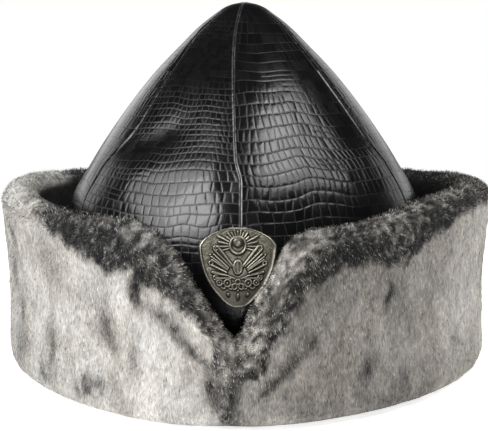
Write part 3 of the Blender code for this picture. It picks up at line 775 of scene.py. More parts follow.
    def kept(self, azimuth, height):
        """Share of the row lines and of the upright lines that shows at each place."""
        rows = uprights = 1 - smooth_step(*SCALES_FADE, height)
        for place in SMOOTH_PLACES:
            away_x = (azimuth - place.azimuth) / place.half_azimuth
            away_z = (height - place.height) / place.half_height
            flat = 1 - smooth_step(0.4, 1.3, np.hypot(away_x, away_z))
            rows = rows * (1 - flat * (1 - place.rows))
            uprights = uprights * (1 - flat * (1 - place.uprights))
        return rows, uprights

    def lay_points(self):
        """Every mesh line from the hem to the tip, with half the columns each time the gore has narrowed."""
        laid, self.starts, self.counts = [], [], []
        total, halvings, count = 0, 0, self.gore.columns
        hem_width = float(self.width_at(0.0))
        for row in self.rows:
            row_width = float(self.width_at((row.low + row.high) / 2))
            lines = self.lines_in(row)
            if row is self.rows[-1]:
                lines = np.append(lines, row.high - 0.02)
            for run in lines:
                narrow = row_width < hem_width / 2 ** (halvings + 1) * 1.05
                if narrow and halvings < self.MOST_HALVINGS:
                    halvings += 1
                    count //= 2
                laid.append(self.raise_line(self.snapped(row, run, row_width, count), run, row, row_width))
                self.starts.append(total)
                self.counts.append(count)
                total += count + 1
        self.points, self.groove, self.worn, self.tone = (np.concatenate(part) for part in zip(*laid))

    def raise_line(self, u, run, row, row_width):
        """Points of one mesh line with their relief, how grooved each is, the painted highlight along its
        seam lip, and how light each is.
        """
        waves, tip = self.waves, self.run[-1]
        width = float(self.width_at(run))
        across = u * (width / row_width)
        fade = min(1.0, run / 12.0, max(0.0, (tip - run - 6.0) / 20.0))
        sway = waves(across / 22.0 + 7.3, run / 26.0) + 0.45 * waves(across / 9.0, run / 14.0 + 3.1)
        run_here = np.clip(run + self.WAVE * fade * sway, 0.0, tip - 0.01)
        height = self.height_at(run_here)
        true_width = self.width_at(run_here)
        gap = np.minimum(0.02, true_width * 0.1) / true_width
        share = gap + np.clip(across / width + 0.5, 0.0, 1.0) * (1 - 2 * gap)
        azimuth = blend(*self.edges(height), share)
        rows_kept, uprights_kept = self.kept(azimuth, height)
        both_kept = np.minimum(rows_kept, uprights_kept)

        cell, left, right, from_row = self.find_scale(u, run, row)
        from_upright = np.minimum(left, right)
        groove = np.maximum(bell(from_row, 0.20) * rows_kept, bell(from_upright, 0.18) * uprights_kept * 0.9)
        pillow = (1 - bell(np.minimum(from_row, from_upright), 0.75)) * row.bulge[cell]
        lean = np.clip((left - right) / np.maximum(left + right, 0.5), -1, 1) * row.tilt[cell]
        size = np.minimum(smooth_curve(self.gore.scales, "row_mm", height) / 5.0, 1.1) ** 3

        side = np.sign(across)
        worn_side = side == self.gore.worn_side
        from_seam = np.minimum(share, 1 - share) * true_width
        roll = bell(from_seam, 0.28) * smooth_step(0.056, 0.066, height)
        lip = bell(from_seam - 0.42, 0.22)
        pucker = waves(side * 5.5 + 20, run / 1.7) * np.exp(-from_seam / 2.2)
        raised = size * both_kept * (self.PILLOW * pillow + self.LEAN * lean) - self.GROOVE_DEPTH * groove
        raised += self.SEAM_LIP * lip * worn_side - self.SEAM_ROLL * roll + self.PUCKER * pucker
        raised += self.WAVER * waves(across / 4.0, run / 5.0)
        # Painted highlight along the raised seam lip on one side: a light colour for the lip's shine, mottled
        # along it, fainter towards the tip, faint on the other side and none low down.
        worn = lip * (0.35 + 0.5 * smooth_step(-0.2, 0.6, waves(run / 2.5, side * 3.5)))
        worn *= np.where(worn_side, 1.0 - 0.6 * smooth_step(0.085, 0.115, height), 0.06)
        worn *= smooth_step(0.064, 0.070, height)
        points = crown_surface(azimuth, height) + crown_normals(azimuth, height) * raised[:, None] * MM
        return points, groove * smooth_step(0.0, 1.2, from_seam), worn, row.tone[cell]

    def faces(self):
        """Quads between lines with the same number of columns, and five-sided faces where it halves."""
        quads, fives = [], []
        for low, high, n_low, n_high in zip(self.starts, self.starts[1:], self.counts, self.counts[1:]):
            i = np.arange(n_high)
            if n_low == n_high:
                quads.append(np.stack([low + i, low + i + 1, high + i + 1, high + i], 1))
            else:
                j = low + 2 * i
                fives.append(np.stack([j, j + 1, j + 2, high + i + 1, high + i], 1))
        return [np.concatenate(group) for group in (quads, fives) if group]


def inner_face(sheet):
    """A coarse inner face: its points, its quads, and the edge faces that join it to the outer one."""
    starts, counts = sheet.starts, sheet.counts
    last = len(starts) - 1
    picked = [0]
    while picked[-1] < last:
        following = min(picked[-1] + INNER_STEP, last)
        halving = [k for k in range(picked[-1] + 1, following) if counts[k] != counts[picked[-1]]]
        picked.append(halving[0] if halving else following)
    columns = counts[-1]
    index = np.array([starts[k] + np.arange(columns + 1) * (counts[k] // columns) for k in picked])
    source = sheet.points[index]
    normal = unit(np.cross(np.gradient(source, axis=1), np.gradient(source, axis=0)))
    inset = source - normal * LEATHER_THICKNESS
    grid = len(sheet.points) + np.arange(index.size).reshape(index.shape)
    quads = np.stack([grid[:-1, :-1], grid[1:, :-1], grid[1:, 1:], grid[:-1, 1:]], -1).reshape(-1, 4)
    rims = []
    for k, (low, high) in enumerate(zip(picked, picked[1:])):
        lines = range(low, high + 1)
        rims.append([*(starts[line] for line in reversed(lines)), grid[k, 0], grid[k + 1, 0]])
        rims.append([*(starts[line] + counts[line] for line in lines), grid[k + 1, -1], grid[k, -1]])
    for k in (0, -1):
        line = picked[k]
        step = counts[line] // columns
        for c in range(columns):
            outer = [starts[line] + c * step + m for m in range(step + 1)]
            pair = [grid[k, c], grid[k, c + 1]]
            rims.append([*pair, *reversed(outer)] if k == 0 else [*outer, *reversed(pair)])
    return inset.reshape(-1, 3), quads, rims


def make_gore(gore, leather, suede):
    sheet = GoreSheet(gore)
    outer_faces = sheet.faces()
    inset, inner_quads, rims = inner_face(sheet)
    by_size = {}
    for rim in rims:
        by_size.setdefault(len(rim), []).append(rim)
    edge_faces = [np.array(by_size[size]) for size in sorted(by_size)]
    points = np.concatenate([sheet.points, inset])
    mesh = mesh_from_arrays(gore.name + "_hide", points, [*outer_faces, inner_quads, *edge_faces])
    add_attribute(mesh, "groove", sheet.groove)
    add_attribute(mesh, "worn", sheet.worn)
    add_attribute(mesh, "scale_tone", sheet.tone)
    slots = np.ones(len(mesh.polygons), np.int32)
    slots[:sum(len(group) for group in outer_faces)] = 0
    mesh.polygons.foreach_set("material_index", slots)
    mesh.set_sharp_from_angle(angle=math.radians(50))
    new_piece(gore.name + "_hide", mesh, (leather, suede), "embossed_leather", gore.name)


# Fur cuff


def cuff_azimuth(points):
    x = (points[:, 0] - AXIS_X) / CUFF_HALF_WIDTH
    y = -(points[:, 1] - AXIS_Y) / CUFF_HALF_DEPTH
    return np.degrees(np.arctan2(x, y))


def cuff_outward(azimuth):
    """Level directions square to the cuff's plan, and along it towards greater azimuths, with its stretch."""
    a = np.radians(azimuth)
    along = np.stack([CUFF_HALF_WIDTH * np.cos(a), CUFF_HALF_DEPTH * np.sin(a), np.zeros_like(a)], 1)
    stretch = np.linalg.norm(along, axis=1)
    along = along / stretch[:, None]
    out = np.stack([along[:, 1], -along[:, 0], np.zeros_like(a)], 1)
    return out, along, stretch


def facing_out(normals, azimuth):
    return np.sum(normals * cuff_outward(azimuth)[0], axis=1)


def to_edge(points, azimuth, turn=0.3):
    """Distance below the cuff's rim across the surface, and the direction towards the rim."""
    rim, ahead, behind = (smooth_curve(CUFF_RIM, "height", azimuth + step) for step in (0.0, turn, -turn))
    slope = (ahead - behind) / (2 * turn)
    _, along, stretch = cuff_outward(azimuth)
    gradient = along * (slope * np.degrees(1.0) / stretch)[:, None]
    gradient[:, 2] -= 1.0
    steep = np.linalg.norm(gradient, axis=1)
    return (rim - points[:, 2]) / steep, -gradient / steep[:, None]


class PileLook:
    """How light the pile is, with painted shade inside the cuff and along its foot, and how rough it stands
    at places on the cuff, measured in mm.
    """

    def __init__(self, points, normals):
        self.azimuth = cuff_azimuth(points)
        edge, self.toward_rim = to_edge(points, self.azimuth)
        self.edge = edge / MM
        self.outward = facing_out(normals, self.azimuth)
        self.upward = normals[:, 2]
        self.x = x = self.azimuth * CUFF_ARC
        self.z = z = points[:, 2] / MM
        noise = [Noise(400 + i) for i in range(8)]
        self.warp_x = 1.8 * noise[0](x / 4.0, z / 5.0) + 1.2 * noise[1](x / 1.9, z / 2.3)
        self.warp_z = 2.2 * noise[2](x / 4.4, z / 5.5) + 1.2 * noise[3](x / 2.1, z / 2.0)
        self.blotches = 0.5 * noise[4](x / 9.0, z / 12.0) + 0.5 * noise[5](x / 4.0, z / 6.0)
        self.tufts = 0.8 * noise[6](x / 1.1, z / 1.4) + 1.0 * noise[7](x / 0.55, z / 0.7)
        self.corner = plateau(*LIGHT_CORNER, self.azimuth)
        self.above = z - self.across_valley(ROLL_LEFT, ROLL_RIGHT, "low") / MM + 0.8 * self.warp_z
        on_top = smooth_step(0.3, 0.8, self.upward) * (self.edge < ROLL_TOP)
        self.rolled = np.maximum(smooth_step(*ROLL_STARTS, self.above), on_top)
        self.turned = self.turned_nap()
        self.rough = np.clip(self.rolled * (1 - 0.8 * self.corner) + 0.7 * self.turned, 0, 1)
        self.tone = self.find_tone()

    def across_valley(self, left_rows, right_rows, column):
        """A column of one table left of the valley, and of another right of it."""
        left, right = (smooth_curve(rows, column, self.azimuth) for rows in (left_rows, right_rows))
        return blend(left, right, smooth_step(VALLEY_AZIMUTH - 0.5, VALLEY_AZIMUTH + 1.5, self.azimuth))

    def turned_nap(self):
        """How far the nap is turned, from 0 to 1."""
        straight = np.ones_like(self.x)
        for mark in NAP_MARKS:
            up = self.z - mark.height
            across = self.x - mark.azimuth * CUFF_ARC + self.warp_x - mark.lean * up
            near = bell(across, mark.half_width) * bell(up + self.warp_z, mark.half_height)
            straight *= 1 - mark.strength * near
        return 1 - straight

    def rim_tone(self):
        """How light the rolled edge is: tufted, lighter along its top, at the very edge and in the valley."""
        tone = smooth_curve(RIM_TONE, "tone", self.azimuth) + 0.36 * self.tufts + 0.18 * self.blotches
        tone += 0.19 * smooth_step(4.0, 13.0, self.above)
        tone += 0.10 * (1 - smooth_step(1.0, 4.5, self.edge)) * smooth_step(-0.4, 0.1, self.outward)
        return tone + 0.16 * bell(self.azimuth + 2.0, 5.0) * (1 - smooth_step(22.0, 40.0, self.z))

    def find_tone(self):
        azimuth, z, tufts, rolled, corner = self.azimuth, self.z, self.tufts, self.rolled, self.corner
        tone = self.across_valley(PILE_TONE_LEFT, PILE_TONE_RIGHT, "tone")
        tone = tone + 0.12 * self.blotches + 0.085 * tufts
        tone = blend(tone, self.rim_tone(), rolled * 0.94)
        streak = plateau(*STREAK_AZIMUTHS, azimuth) * (z < STREAK_TOP)
        streak = streak * bell(self.above + STREAK_WIDTH * 0.4, STREAK_WIDTH)
        tone = blend(tone, 0.80 + 0.2 * tufts, streak * 0.8)
        shadow = NAP_DARKENING * self.turned + NAP_DEEPENING * self.turned ** 5
        tone -= shadow * (1 - 0.8 * rolled) * (1 + 0.5 * tufts)
        low_right = (1 - smooth_step(6.0, 30.0, z)) * smooth_step(2.0, 14.0, azimuth)
        tone -= 0.07 * low_right * (1 - rolled)
        # Painted shade: pile facing into the cuff is darkened, more so further below the rim, and starting
        # further down at the pale left end.
        depth_in_shade = smooth_step(1.5 + 3.5 * corner, 5.0 + 3.5 * corner, self.edge)
        inside = np.clip(-self.outward, 0.0, 1.0)
        tone *= 1 - inside * (0.5 * (1 - corner) + (0.48 + 0.38 * corner) * depth_in_shade)
        # Painted shade along the bottom 3 mm of the pile, by the floor.
        tone -= 0.12 * (1 - smooth_step(0.0, 3.0, z))
        return np.clip(tone, DARKEST, 1.0)


def make_skin():
    """The cuff's solid as one even mesh with the lumps of the pile on it."""
    even = ("REMESH", {"mode": "VOXEL", "voxel_size": SKIN_VOXEL})
    soft = ("SMOOTH", {"factor": 0.5, "iterations": 5})
    mesh = reshaped("fur_cuff", "fur_cuff_skin", even, soft)
    points, normals = mesh_arrays(mesh)
    look = PileLook(points, normals)
    x, z = look.x, look.z
    lumps = Noise(31)
    raised = 0.45 * lumps(x / 7.0 + 9.0 * (look.outward < 0), z / 9.0) + 0.30 * lumps(x / 2.6, z / 3.1)
    furred = (look.edge < FUR_IN_FROM_RIM) | (look.outward > 0)
    raised = np.where(furred, raised * smooth_step(0.0, 6.0, z), 0.0)
    points = points + normals * (raised * MM)[:, None]
    mesh.vertices.foreach_set("co", points.astype(np.float32).ravel())
    add_attribute(mesh, "tone", look.tone)
    add_attribute(mesh, "warmth", np.clip(0.5 + 0.5 * lumps(x / 12.0, z / 12.0), 0, 1))
    mesh.shade_smooth()
    mesh.update()
    piece = new_piece("fur_cuff_pile", mesh, (pile_material(),), "grey_fur", "fur_cuff")
    return mesh


def scatter(mesh, rng):
    """Random places on a mesh, even over its area, with the normals there."""
    points, normals = mesh_arrays(mesh)
    mesh.calc_loop_triangles()
    corners = np.empty(len(mesh.loop_triangles) * 3, np.int32)
    mesh.loop_triangles.foreach_get("vertices", corners)
    corners = corners.reshape(-1, 3)
    a, b, c = (points[corners[:, k]] for k in range(3))
    area = np.linalg.norm(np.cross(b - a, c - a), axis=1) / 2 / MM ** 2
    count = np.floor(area * HAIRS_PER_MM2 + rng.random(len(area))).astype(int)
    face = np.repeat(np.arange(len(count)), count)
    u, v = rng.random(len(face)), rng.random(len(face))
    over = u + v > 1
    u, v = np.where(over, 1 - u, u), np.where(over, 1 - v, v)
    weights = np.stack([1 - u - v, u, v], 1)[:, :, None]
    return (points[corners[face]] * weights).sum(1), unit((normals[corners[face]] * weights).sum(1))


Hairs = namedtuple("Hairs", "root normal lie length tone warmth rough")


def hair_lie(normals, look, rng):
    """Direction and length of each hair: down the cuff, up at the rim, and rough where the nap is turned."""
    azimuth, edge, x, z = look.azimuth, look.edge, look.x, look.z
    rough = look.rough[:, None]
    down = np.array([0.0, 0.0, -1.0]) + normals * normals[:, 2:3]
    flat_top = np.linalg.norm(down, axis=1, keepdims=True) < 0.35
    down = unit(np.where(flat_top, cuff_outward(azimuth)[0], down))
    toward = unit(look.toward_rim - normals * np.sum(look.toward_rim * normals, axis=1, keepdims=True))
    near = (1 - smooth_step(*UPRIGHT_FROM_RIM, edge))[:, None]
    right_flap = smooth_step(VALLEY_AZIMUTH, VALLEY_AZIMUTH + 2.0, azimuth)[:, None]
    lie = (0.16 + 0.62 * rough) * normals + (0.97 - 0.35 * rough) * down
    upright = 0.85 * normals + (0.35 - 0.15 * right_flap) * toward + 0.3 * right_flap * down
    lie = blend(lie, upright, near)

    along_rim = np.cross(normals, toward)
    along_rim = unit(along_rim * -np.sign(along_rim[:, 2:3] + 1e-9))
    left_flap = plateau(*LEFT_FLAP_AZIMUTHS, azimuth) * plateau(*LEFT_FLAP_FROM_RIM, edge)
    left_flap = (left_flap * (z > 20) * (z < 68))[:, None]
    lie = blend(lie, 0.35 * normals + 0.9 * along_rim, left_flap)

    sway = [Noise(500 + k) for k in range(3)]
    turn = np.stack([s(x / 5.0, z / 6.0) + 0.8 * s(x / 2.0 + 9, z / 2.4) for s in sway], 1)
    loose = rng.normal(0.0, 1.0, normals.shape) * (0.09 + 0.16 * rough)
    lie = unit(lie) + (0.10 + 0.22 * rough) * turn + loose
    rise = np.sum(lie * normals, axis=1, keepdims=True)
    lie = lie + normals * np.maximum(0.0, 0.12 + 0.12 * rough - rise)

    near = near[:, 0]
    length = (HAIR_LENGTH + 0.15 * look.rough) * rng.uniform(0.65, 1.25, len(z))
    length *= 1 - 0.15 * near + 0.14 * sway[0](x / 3.0 + 30, z / 3.0) * near
    length *= 1 - 0.5 * bell(azimuth - BADGE_SIDE_AZIMUTH, 5.0) * near
    return unit(lie), length * (0.55 + 0.45 * smooth_step(0.0, 5.0, z)) * MM


def hair_mesh(name, hairs, rng):
    """Flat tapering blades of two segments, with how light each is along its length in its UV map."""
    root, normal, lie, length, tone, warmth, rough = hairs
    count = len(root)
    side = unit(np.cross(lie, normal) + rng.normal(0.0, 0.35, lie.shape))
    half = side * HAIR_ROOT_WIDTH / 2 * rng.uniform(0.75, 1.25, (count, 1)) * (0.85 + 0.15 * rough[:, None])
    reach = length[:, None]
    droop = np.array([0.0, 0.0, -0.10]) + rng.normal(0.0, 0.10, lie.shape)
    middle = root + lie * reach * 0.55
    tip = root + unit(lie + droop) * reach
    points = np.stack([root - half, root + half, middle + half * 0.8, middle - half * 0.8, tip], 1)
    points[:, :, 2] = np.maximum(points[:, :, 2], HAIRS_LOWEST)
    first = np.arange(count)[:, None] * 5
    faces = [first + np.array([corners]) for corners in ((0, 1, 2, 3), (3, 2, 4))]
    mesh = mesh_from_arrays(name, points.reshape(-1, 3), faces)

    layer = mesh.uv_layers.new(name="OFBake")
    frosted = (rng.random(count) < FROSTED_SHARE) * rng.uniform(*FROSTING, count) * (1 - tone) * rough
    at_tip = np.minimum(tone * (1.03 + 0.10 * rough) + frosted, 1.0)
    at_middle = tone * (0.98 - 0.10 * rough) + 0.5 * frosted
    at_root = tone * (0.90 - 0.50 * rough)
    tones = np.stack([at_root, at_root, at_middle, at_middle, at_tip], 1)
    uv = np.stack([tones.ravel(), np.repeat(warmth, 5)], 1)
    corner = np.empty(len(mesh.loops), np.int32)
    mesh.loops.foreach_get("vertex_index", corner)
    layer.data.foreach_set("uv", np.clip(uv[corner], 0.002, 0.998).astype(np.float32).ravel())
    own = unit(np.cross(side, lie))
    own = own * np.sign(np.sum(own * normal, axis=1, keepdims=True) + 1e-9)
    shading = unit(0.65 * normal + 0.35 * own)
    mesh.normals_split_custom_set_from_vertices(np.repeat(shading, 5, axis=0).tolist())
    return mesh


def make_pile():
    skin = make_skin()
    rng = np.random.default_rng(77)
    root, normal = scatter(skin, rng)
    azimuth = cuff_azimuth(root)
    furred = (facing_out(normal, azimuth) > -0.05) | (to_edge(root, azimuth)[0] / MM < FUR_IN_FROM_RIM)
    furred &= (normal[:, 2] > -0.75) & (root[:, 2] / MM > HAIRS_FROM_FOOT)
    furred &= rng.random(len(root)) < 1 - THINNED_BEHIND * smooth_step(100.0, 125.0, np.abs(azimuth))
    root, normal = root[furred], normal[furred]
    look = PileLook(root, normal)
    lie, length = hair_lie(normal, look, rng)
    azimuth, count = look.azimuth, len(root)
    tone = np.clip(look.tone + rng.normal(0.0, 1.0, count) * (0.085 + 0.17 * look.rough), DARKEST, 1.0)
    speck = (rng.random(count) < SPECK_SHARE) * rng.uniform(0.1, 0.4, count) * (1 - look.rough)
    tone = np.clip(tone - speck, DARKEST, 1.0)
    warmth = 0.35 + 0.45 * smooth_step(VALLEY_AZIMUTH - 1, VALLEY_AZIMUTH + 3, azimuth)
    warmth = warmth + rng.uniform(-0.3, 0.3, count)
    hairs = Hairs(root, normal, lie, length, tone, warmth, look.rough)
    strands = strand_material()
    for name, low, high in HAIR_PIECES:
        mine = (azimuth >= low) & (azimuth < high)
        mesh = hair_mesh(name, Hairs(*(part[mine] for part in hairs)), rng)
        new_piece(name, mesh, (strands,), "grey_fur")


def make_facing():
    """The black cloth inside the cuff, with slight wrinkles."""
    finer = ("SUBSURF", {"subdivision_type": "SIMPLE", "levels": 2})
    mesh = reshaped("cuff_facing", "cuff_facing_cloth", finer)
    points, _ = mesh_arrays(mesh)
    azimuth = cuff_azimuth(points)
    wrinkle = Noise(61)
    x, z = azimuth * CUFF_ARC, points[:, 2] / MM
    depth = 0.35 * wrinkle(x / 9.0, z / 30.0) + 0.15 * wrinkle(x / 3.0, z / 8.0)
    points = points + cuff_outward(azimuth)[0] * (depth * MM)[:, None]
    mesh.vertices.foreach_set("co", points.astype(np.float32).ravel())
    mesh.update()
    facing = new_piece("cuff_facing_cloth", mesh, (facing_material(),), "black_facing", "cuff_facing")


# Badge


BADGE_CENTRE = (-0.002874, -0.093406, 0.055662)
BADGE_TILT = 78.0
BADGE_PLACE = Matrix.Translation(BADGE_CENTRE) @ Matrix.Rotation(math.radians(BADGE_TILT), 4, "X")
BADGE_THICKNESS = 1.6
BADGE_BEVEL = 0.6
BADGE_STEP = 0.2
BADGE_COLUMNS = 150
POST_RADIUS = 1.1
POST_START = 0.1
POST_END = 5.6
POST_SIDES = 24
OutlineRow = namedtuple("OutlineRow", "y half")
BADGE_HALF = table(
    OutlineRow,
    (-15.7, 0.0), (-15.4, 1.9), (-14.6, 4.0), (-12.8, 6.2), (-6.2, 11.4), (1.6, 14.5), (7.6, 15.3),
    (10.5, 13.8), (12.6, 10.9), (14.0, 8.0), (15.1, 4.6), (15.5, 2.1), (15.6, 0.0),
)
Bar = namedtuple("Bar", "x1 y1 x2 y2 width_1 width_2 rise")
Ring = namedtuple("Ring", "x y radius wire rise")
Dome = namedtuple("Dome", "x y radius_x radius_y rise")
BADGE_BARS = table(
    Bar,
    (2.0, 0.2, 8.8, 8.2, 1.1, 1.5, 0.85), (3.2, 0.4, 10.2, 6.8, 0.6, 0.9, 0.65),
    (4.0, -0.4, 10.5, 5.2, 0.8, 0.7, 0.75), (4.3, -0.9, 11.4, 4.2, 0.6, 0.7, 0.65),
    (4.5, -1.2, 11.2, 3.0, 0.8, 0.7, 0.75), (4.8, -2.2, 11.0, 0.6, 0.8, 1.2, 0.75),
    (4.5, -3.4, 10.7, -2.2, 0.8, 1.6, 0.7), (3.0, -4.4, 9.4, -4.4, 0.6, 0.9, 0.6),
    (1.4, -4.6, 5.6, -3.0, 0.7, 0.5, 0.6),
)
BADGE_RINGS = table(
    Ring,
    (4.5, -6.4, 1.4, 0.42, 0.7), (8.0, -6.2, 1.1, 0.40, 0.65), (1.5, -7.8, 1.1, 0.38, 0.65),
    (9.6, 7.6, 0.9, 0.36, 0.6), (11.6, 1.6, 0.8, 0.34, 0.55), (3.0, -7.9, 0.9, 0.34, 0.6),
    (6.3, -7.6, 1.0, 0.36, 0.6), (0.0, -5.9, 1.0, 0.36, 0.6), (9.6, -4.2, 0.9, 0.34, 0.55),
)
BADGE_DOMES = table(
    Dome,
    (4.2, -11.0, 0.8, 0.9, 0.8), (4.5, -6.4, 0.55, 0.55, 0.7), (8.0, -6.2, 0.45, 0.45, 0.6),
    (6.4, -8.6, 0.5, 0.5, 0.5), (10.0, -3.6, 0.5, 0.5, 0.5), (9.6, 7.6, 0.4, 0.4, 0.6),
    (11.9, 5.0, 0.5, 0.5, 0.6),
)
MIDDLE_DOMES = table(
    Dome,
    (0.0, 10.2, 2.3, 2.3, 1.2), (0.0, -11.8, 0.8, 1.5, 0.9), (0.0, -9.4, 0.5, 0.5, 0.6),
)
CRESCENT = Ring(0.0, 8.8, 3.4, 0.60, 1.0)
SUN_Y = 8.4
SUN_RAYS = 17
SUN_FIRST, SUN_LAST = -14.0, 194.0
SUN_START = 3.6
SUN_REACHES = (8.3, 9.3)
SUN_SHORTENED = 0.70
SHIELD_HALF = (2.1, 3.1)


def rounded(distance):
    """Height of a half round at a distance from its middle, both as shares of its radius."""
    return np.sqrt(np.clip(1 - distance ** 2, 0.0, 1.0))


def bar_height(x, y, bar):
    along_x, along_y = bar.x2 - bar.x1, bar.y2 - bar.y1
    share = ((x - bar.x1) * along_x + (y - bar.y1) * along_y) / (along_x ** 2 + along_y ** 2)
    share = np.clip(share, 0.0, 1.0)
    away = np.hypot(x - bar.x1 - along_x * share, y - bar.y1 - along_y * share)
    return bar.rise * rounded(away / (blend(bar.width_1, bar.width_2, share) / 2))


def ring_height(x, y, ring):
    return ring.rise * rounded((np.hypot(x - ring.x, y - ring.y) - ring.radius) / ring.wire)


def dome_height(x, y, dome):
    return dome.rise * rounded(np.hypot((x - dome.x) / dome.radius_x, (y - dome.y) / dome.radius_y))


def sun_rays():
    """Bars of the sun: every second one longer, and the upright ones short."""
    for i, turn in enumerate(np.radians(np.linspace(SUN_FIRST, SUN_LAST, SUN_RAYS))):
        reach = SUN_REACHES[i % 2] * (1.0 if math.sin(turn) < 0.5 else SUN_SHORTENED)
        ends = [(r * math.cos(turn), SUN_Y + r * math.sin(turn)) for r in (SUN_START, reach)]
        yield Bar(*ends[0], *ends[1], 0.55, 1.05, 0.65)


def badge_relief(x, y):
    """Height of the cast relief above the plate, in mm, the same on both sides of the middle."""
    side = np.abs(x)
    heights = [bar_height(x, y, ray) for ray in sun_rays()]
    heights += [bar_height(side, y, bar) for bar in BADGE_BARS]
    heights += [ring_height(side, y, ring) for ring in BADGE_RINGS]
    heights += [dome_height(side, y, dome) for dome in BADGE_DOMES]
    heights += [dome_height(x, y, dome) for dome in MIDDLE_DOMES]
    heights.append(ring_height(x, y, CRESCENT))
    oval = np.hypot(x / SHIELD_HALF[0], y / SHIELD_HALF[1])
    shield = 0.62 + 0.25 * (1 - oval ** 2) + 0.28 * bell(oval - 0.86, 0.10)
    shield = shield + 0.10 * np.cos(x / 0.26) * (oval < 0.75)
    heights.append(np.where(oval < 1, shield, 0.0))
    return np.maximum.reduce(heights)


def badge_front():
    """Places on the badge's face in mm, how dark each is, in its recesses and more towards the bottom, and
    how much each is rubbed metal.
    """
    bottom, top = BADGE_HALF[0].y, BADGE_HALF[-1].y
    rows = np.arange(bottom + 0.02, top - 0.01, BADGE_STEP)
    half = smooth_curve(BADGE_HALF, "half", rows)[:, None]
    x = half * np.linspace(-1, 1, BADGE_COLUMNS + 1)
    y = np.repeat(rows[:, None], BADGE_COLUMNS + 1, axis=1)
    rim = np.minimum(half - np.abs(x), np.minimum(y - bottom, top - y) * 1.6)
    relief = badge_relief(x / 0.9, y / 0.97)
    grain = Noise(91)
    z = BADGE_THICKNESS + 0.35 * bell(rim - 0.75, 0.45) - 0.16 * smooth_step(0.6, 1.8, rim)
    z -= 0.75 * (1 - rounded(1 - np.clip(rim / BADGE_BEVEL, 0, 1)))
    z += relief * 0.95 + 0.035 * grain(x / 0.5, y / 0.5) + 0.05 * grain(x / 1.6, y / 1.6)
    spread = relief
    for _ in range(5):
        wide = np.pad(spread, 1, mode="edge")
        spread = (wide[:-2, 1:-1] + wide[2:, 1:-1] + wide[1:-1, :-2] + wide[1:-1, 2:] + spread) / 5
    recess = np.clip((spread - relief) * 8.0 + 0.30 * (relief < 0.05) * (spread > 0.03), 0, 1)
    recess = recess * smooth_step(0.8, 1.6, rim)
    # The plate darkens towards the bottom of the badge, inside its border.
    recess = np.clip(recess + 0.26 * smooth_step(1.0, 13.0, -y) * smooth_step(0.4, 2.0, rim), 0, 1)
    rubbed = np.clip((relief - spread) * 2.0, 0, 1) + 0.8 * bell(rim - 0.55, 0.4)
    return np.stack([x, y, z], -1), recess, np.clip(rubbed, 0, 1)


def ring_walls(upper, lower):
    """Quads between two loops of point numbers with the same count."""
    return np.stack([np.roll(upper, -1), upper, lower, np.roll(lower, -1)], 1)


def make_badge():
    """The casting: its face, its edge and flat back, and the post behind it."""
    face, recess, rubbed = badge_front()
    front = face.reshape(-1, 3)
    index = np.arange(len(front)).reshape(face.shape[:2])
    quads = np.stack([index[:-1, :-1], index[:-1, 1:], index[1:, 1:], index[1:, :-1]], -1).reshape(-1, 4)
    loop = np.concatenate([index[0, :], index[1:, -1], index[-1, -2::-1], index[-2:0:-1, 0]])
    edge = front[loop] * (1.0, 1.0, 0.0)
    back = len(front) + np.arange(len(loop))
    around = np.radians(np.arange(POST_SIDES) * (360.0 / POST_SIDES))
    ring = np.stack([POST_RADIUS * np.cos(around), POST_RADIUS * np.sin(around), np.zeros(POST_SIDES)], 1)
    post = [ring + (0.0, 0.0, z) for z in (POST_START, -POST_END)]
    high = back[-1] + 1 + np.arange(POST_SIDES)
    low = high + POST_SIDES
    points = np.concatenate([front, edge, *post]) * MM
    points = points @ np.array(BADGE_PLACE.to_3x3()).T + np.array(BADGE_PLACE.translation)
    walls = [ring_walls(loop, back), ring_walls(high, low)]
    flats = [back[::-1][None, :], high[None, :], low[::-1][None, :]]
    mesh = mesh_from_arrays("badge_casting", points, [quads, *walls, *flats])
    add_attribute(mesh, "recess", recess.ravel())
    add_attribute(mesh, "rubbed", rubbed.ravel())
    new_piece("badge_casting", mesh, (pewter_material(),), "aged_pewter", "badge")


def dress_clutch():
    clutch = bpy.data.objects["badge_clutch"]
    clutch.material_slots[0].link = "OBJECT"
    clutch.material_slots[0].material = steel_material()


# Camera, stage and light


def make_camera():
    data = bpy.data.cameras.new("camera")
    data.sensor_width = SENSOR_WIDTH
    data.lens = FOCAL_PIXELS / FRAME_WIDTH * SENSOR_WIDTH
    camera = new_object("camera", data)
    camera.location = (CAMERA_X, AXIS_Y - CAMERA_DISTANCE, CAMERA_HEIGHT)
    camera.rotation_euler = (math.radians(90 - CAMERA_PITCH), 0, 0)
    bpy.context.scene.camera = camera


Softbox = namedtuple("Softbox", "name azimuth elevation roll distance width height power")
SOFTBOXES = (
    Softbox("key_left", -55.6, 36.6, 41.0, 0.9, 0.615, 0.715, 6.2),
    Softbox("key_left_core", -50.0, 38.0, 41.0, 0.88, 0.34, 0.30, 1.35),
    Softbox("key_right", 57.0, 59.4, -10.0, 0.9, 0.77, 0.38, 3.5),
    Softbox("key_right_core", 61.0, 63.0, -10.0, 0.88, 0.29, 0.22, 0.75),
    Softbox("front_fill", 8.0, 4.0, 0.0, 1.3, 0.5, 0.3, 3.0),
    Softbox("back_left", -140.0, 16.0, 0.0, 1.2, 1.2, 0.5, 1.9),
    Softbox("back_right", 140.0, 16.0, 0.0, 1.2, 1.2, 0.5, 1.3),
)
LIGHT_AIM = Vector((0.0, -0.02, 0.07))
# Strength of the room's light: from and to along an axis of the hat, and the strength at each end
WORLD_BEHIND = (-0.1, 0.7, 0.0, 1.0)
WORLD_LEVEL = (0.1, 0.6, 0.22, 0.0)
WORLD_LEAST = 0.034
FLOOR_RADIUS = 0.6
FLOOR_DROP = 0.0002
FLOOR_GLOW = 0.75


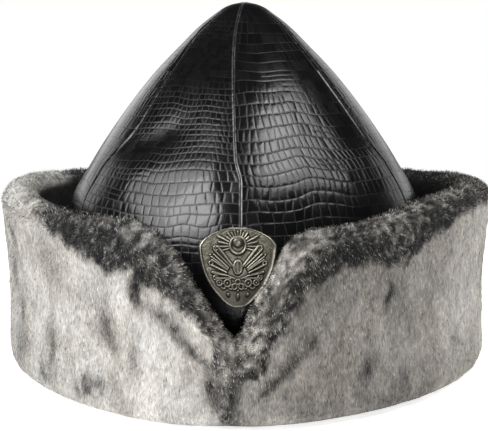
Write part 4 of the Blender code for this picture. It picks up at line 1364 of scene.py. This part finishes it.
def make_light(box):
    data = bpy.data.lights.new(box.name, "AREA")
    data.shape = "RECTANGLE"
    data.size = box.width
    data.size_y = box.height
    data.energy = box.power
    light = new_object(box.name, data)
    azimuth, elevation = math.radians(box.azimuth), math.radians(box.elevation)
    level = math.cos(elevation)
    toward = Vector((math.sin(azimuth) * level, -math.cos(azimuth) * level, math.sin(elevation)))
    light.location = LIGHT_AIM + toward * box.distance
    turn = toward.to_track_quat("Z", "Y") @ Quaternion((0, 0, 1), math.radians(box.roll))
    light.rotation_euler = turn.to_euler()
    light.visible_camera = False


def make_world():
    """A white backdrop for the camera, and for everything else soft light from low behind the hat."""
    world = bpy.data.worlds.new("studio")
    bpy.context.scene.world = world
    room = Nodes(world)
    parts = room.split(room.add("ShaderNodeTexCoord").outputs["Generated"])
    behind = room.remap(parts["Y"], *WORLD_BEHIND, kind="SMOOTHSTEP")
    level = room.remap(parts["Z"], *WORLD_LEVEL, kind="SMOOTHSTEP")
    strength = room.math("MULTIPLY_ADD", behind, level, WORLD_LEAST)
    light = room.tree.nodes["Background"]
    room.link(WHITE, light.inputs["Color"])
    room.link(strength, light.inputs["Strength"])
    seen = room.add("ShaderNodeBackground", {"Color": WHITE}).outputs[0]
    is_camera = room.add("ShaderNodeLightPath").outputs["Is Camera Ray"]
    both = room.add("ShaderNodeMixShader", {0: is_camera, 1: light.outputs[0], 2: seen})
    room.link(both.outputs[0], room.tree.nodes["World Output"].inputs["Surface"])
    bpy.context.scene.view_settings.view_transform = "Standard"


def make_floor():
    bm = bmesh.new()
    bmesh.ops.create_circle(bm, cap_ends=True, segments=96, radius=FLOOR_RADIUS)
    mesh = bpy.data.meshes.new("floor")
    bm.to_mesh(mesh)
    bm.free()
    mesh.materials.append(floor_material())
    floor = new_object("floor", mesh)
    floor.location = (0, 0, -FLOOR_DROP)


make_camera()
for softbox in SOFTBOXES:
    make_light(softbox)
make_world()
make_floor()
leather = leather_material()
suede = suede_material()
for gore in GORES:
    make_gore(gore, leather, suede)
make_pile()
make_facing()
make_badge()
dress_clutch()
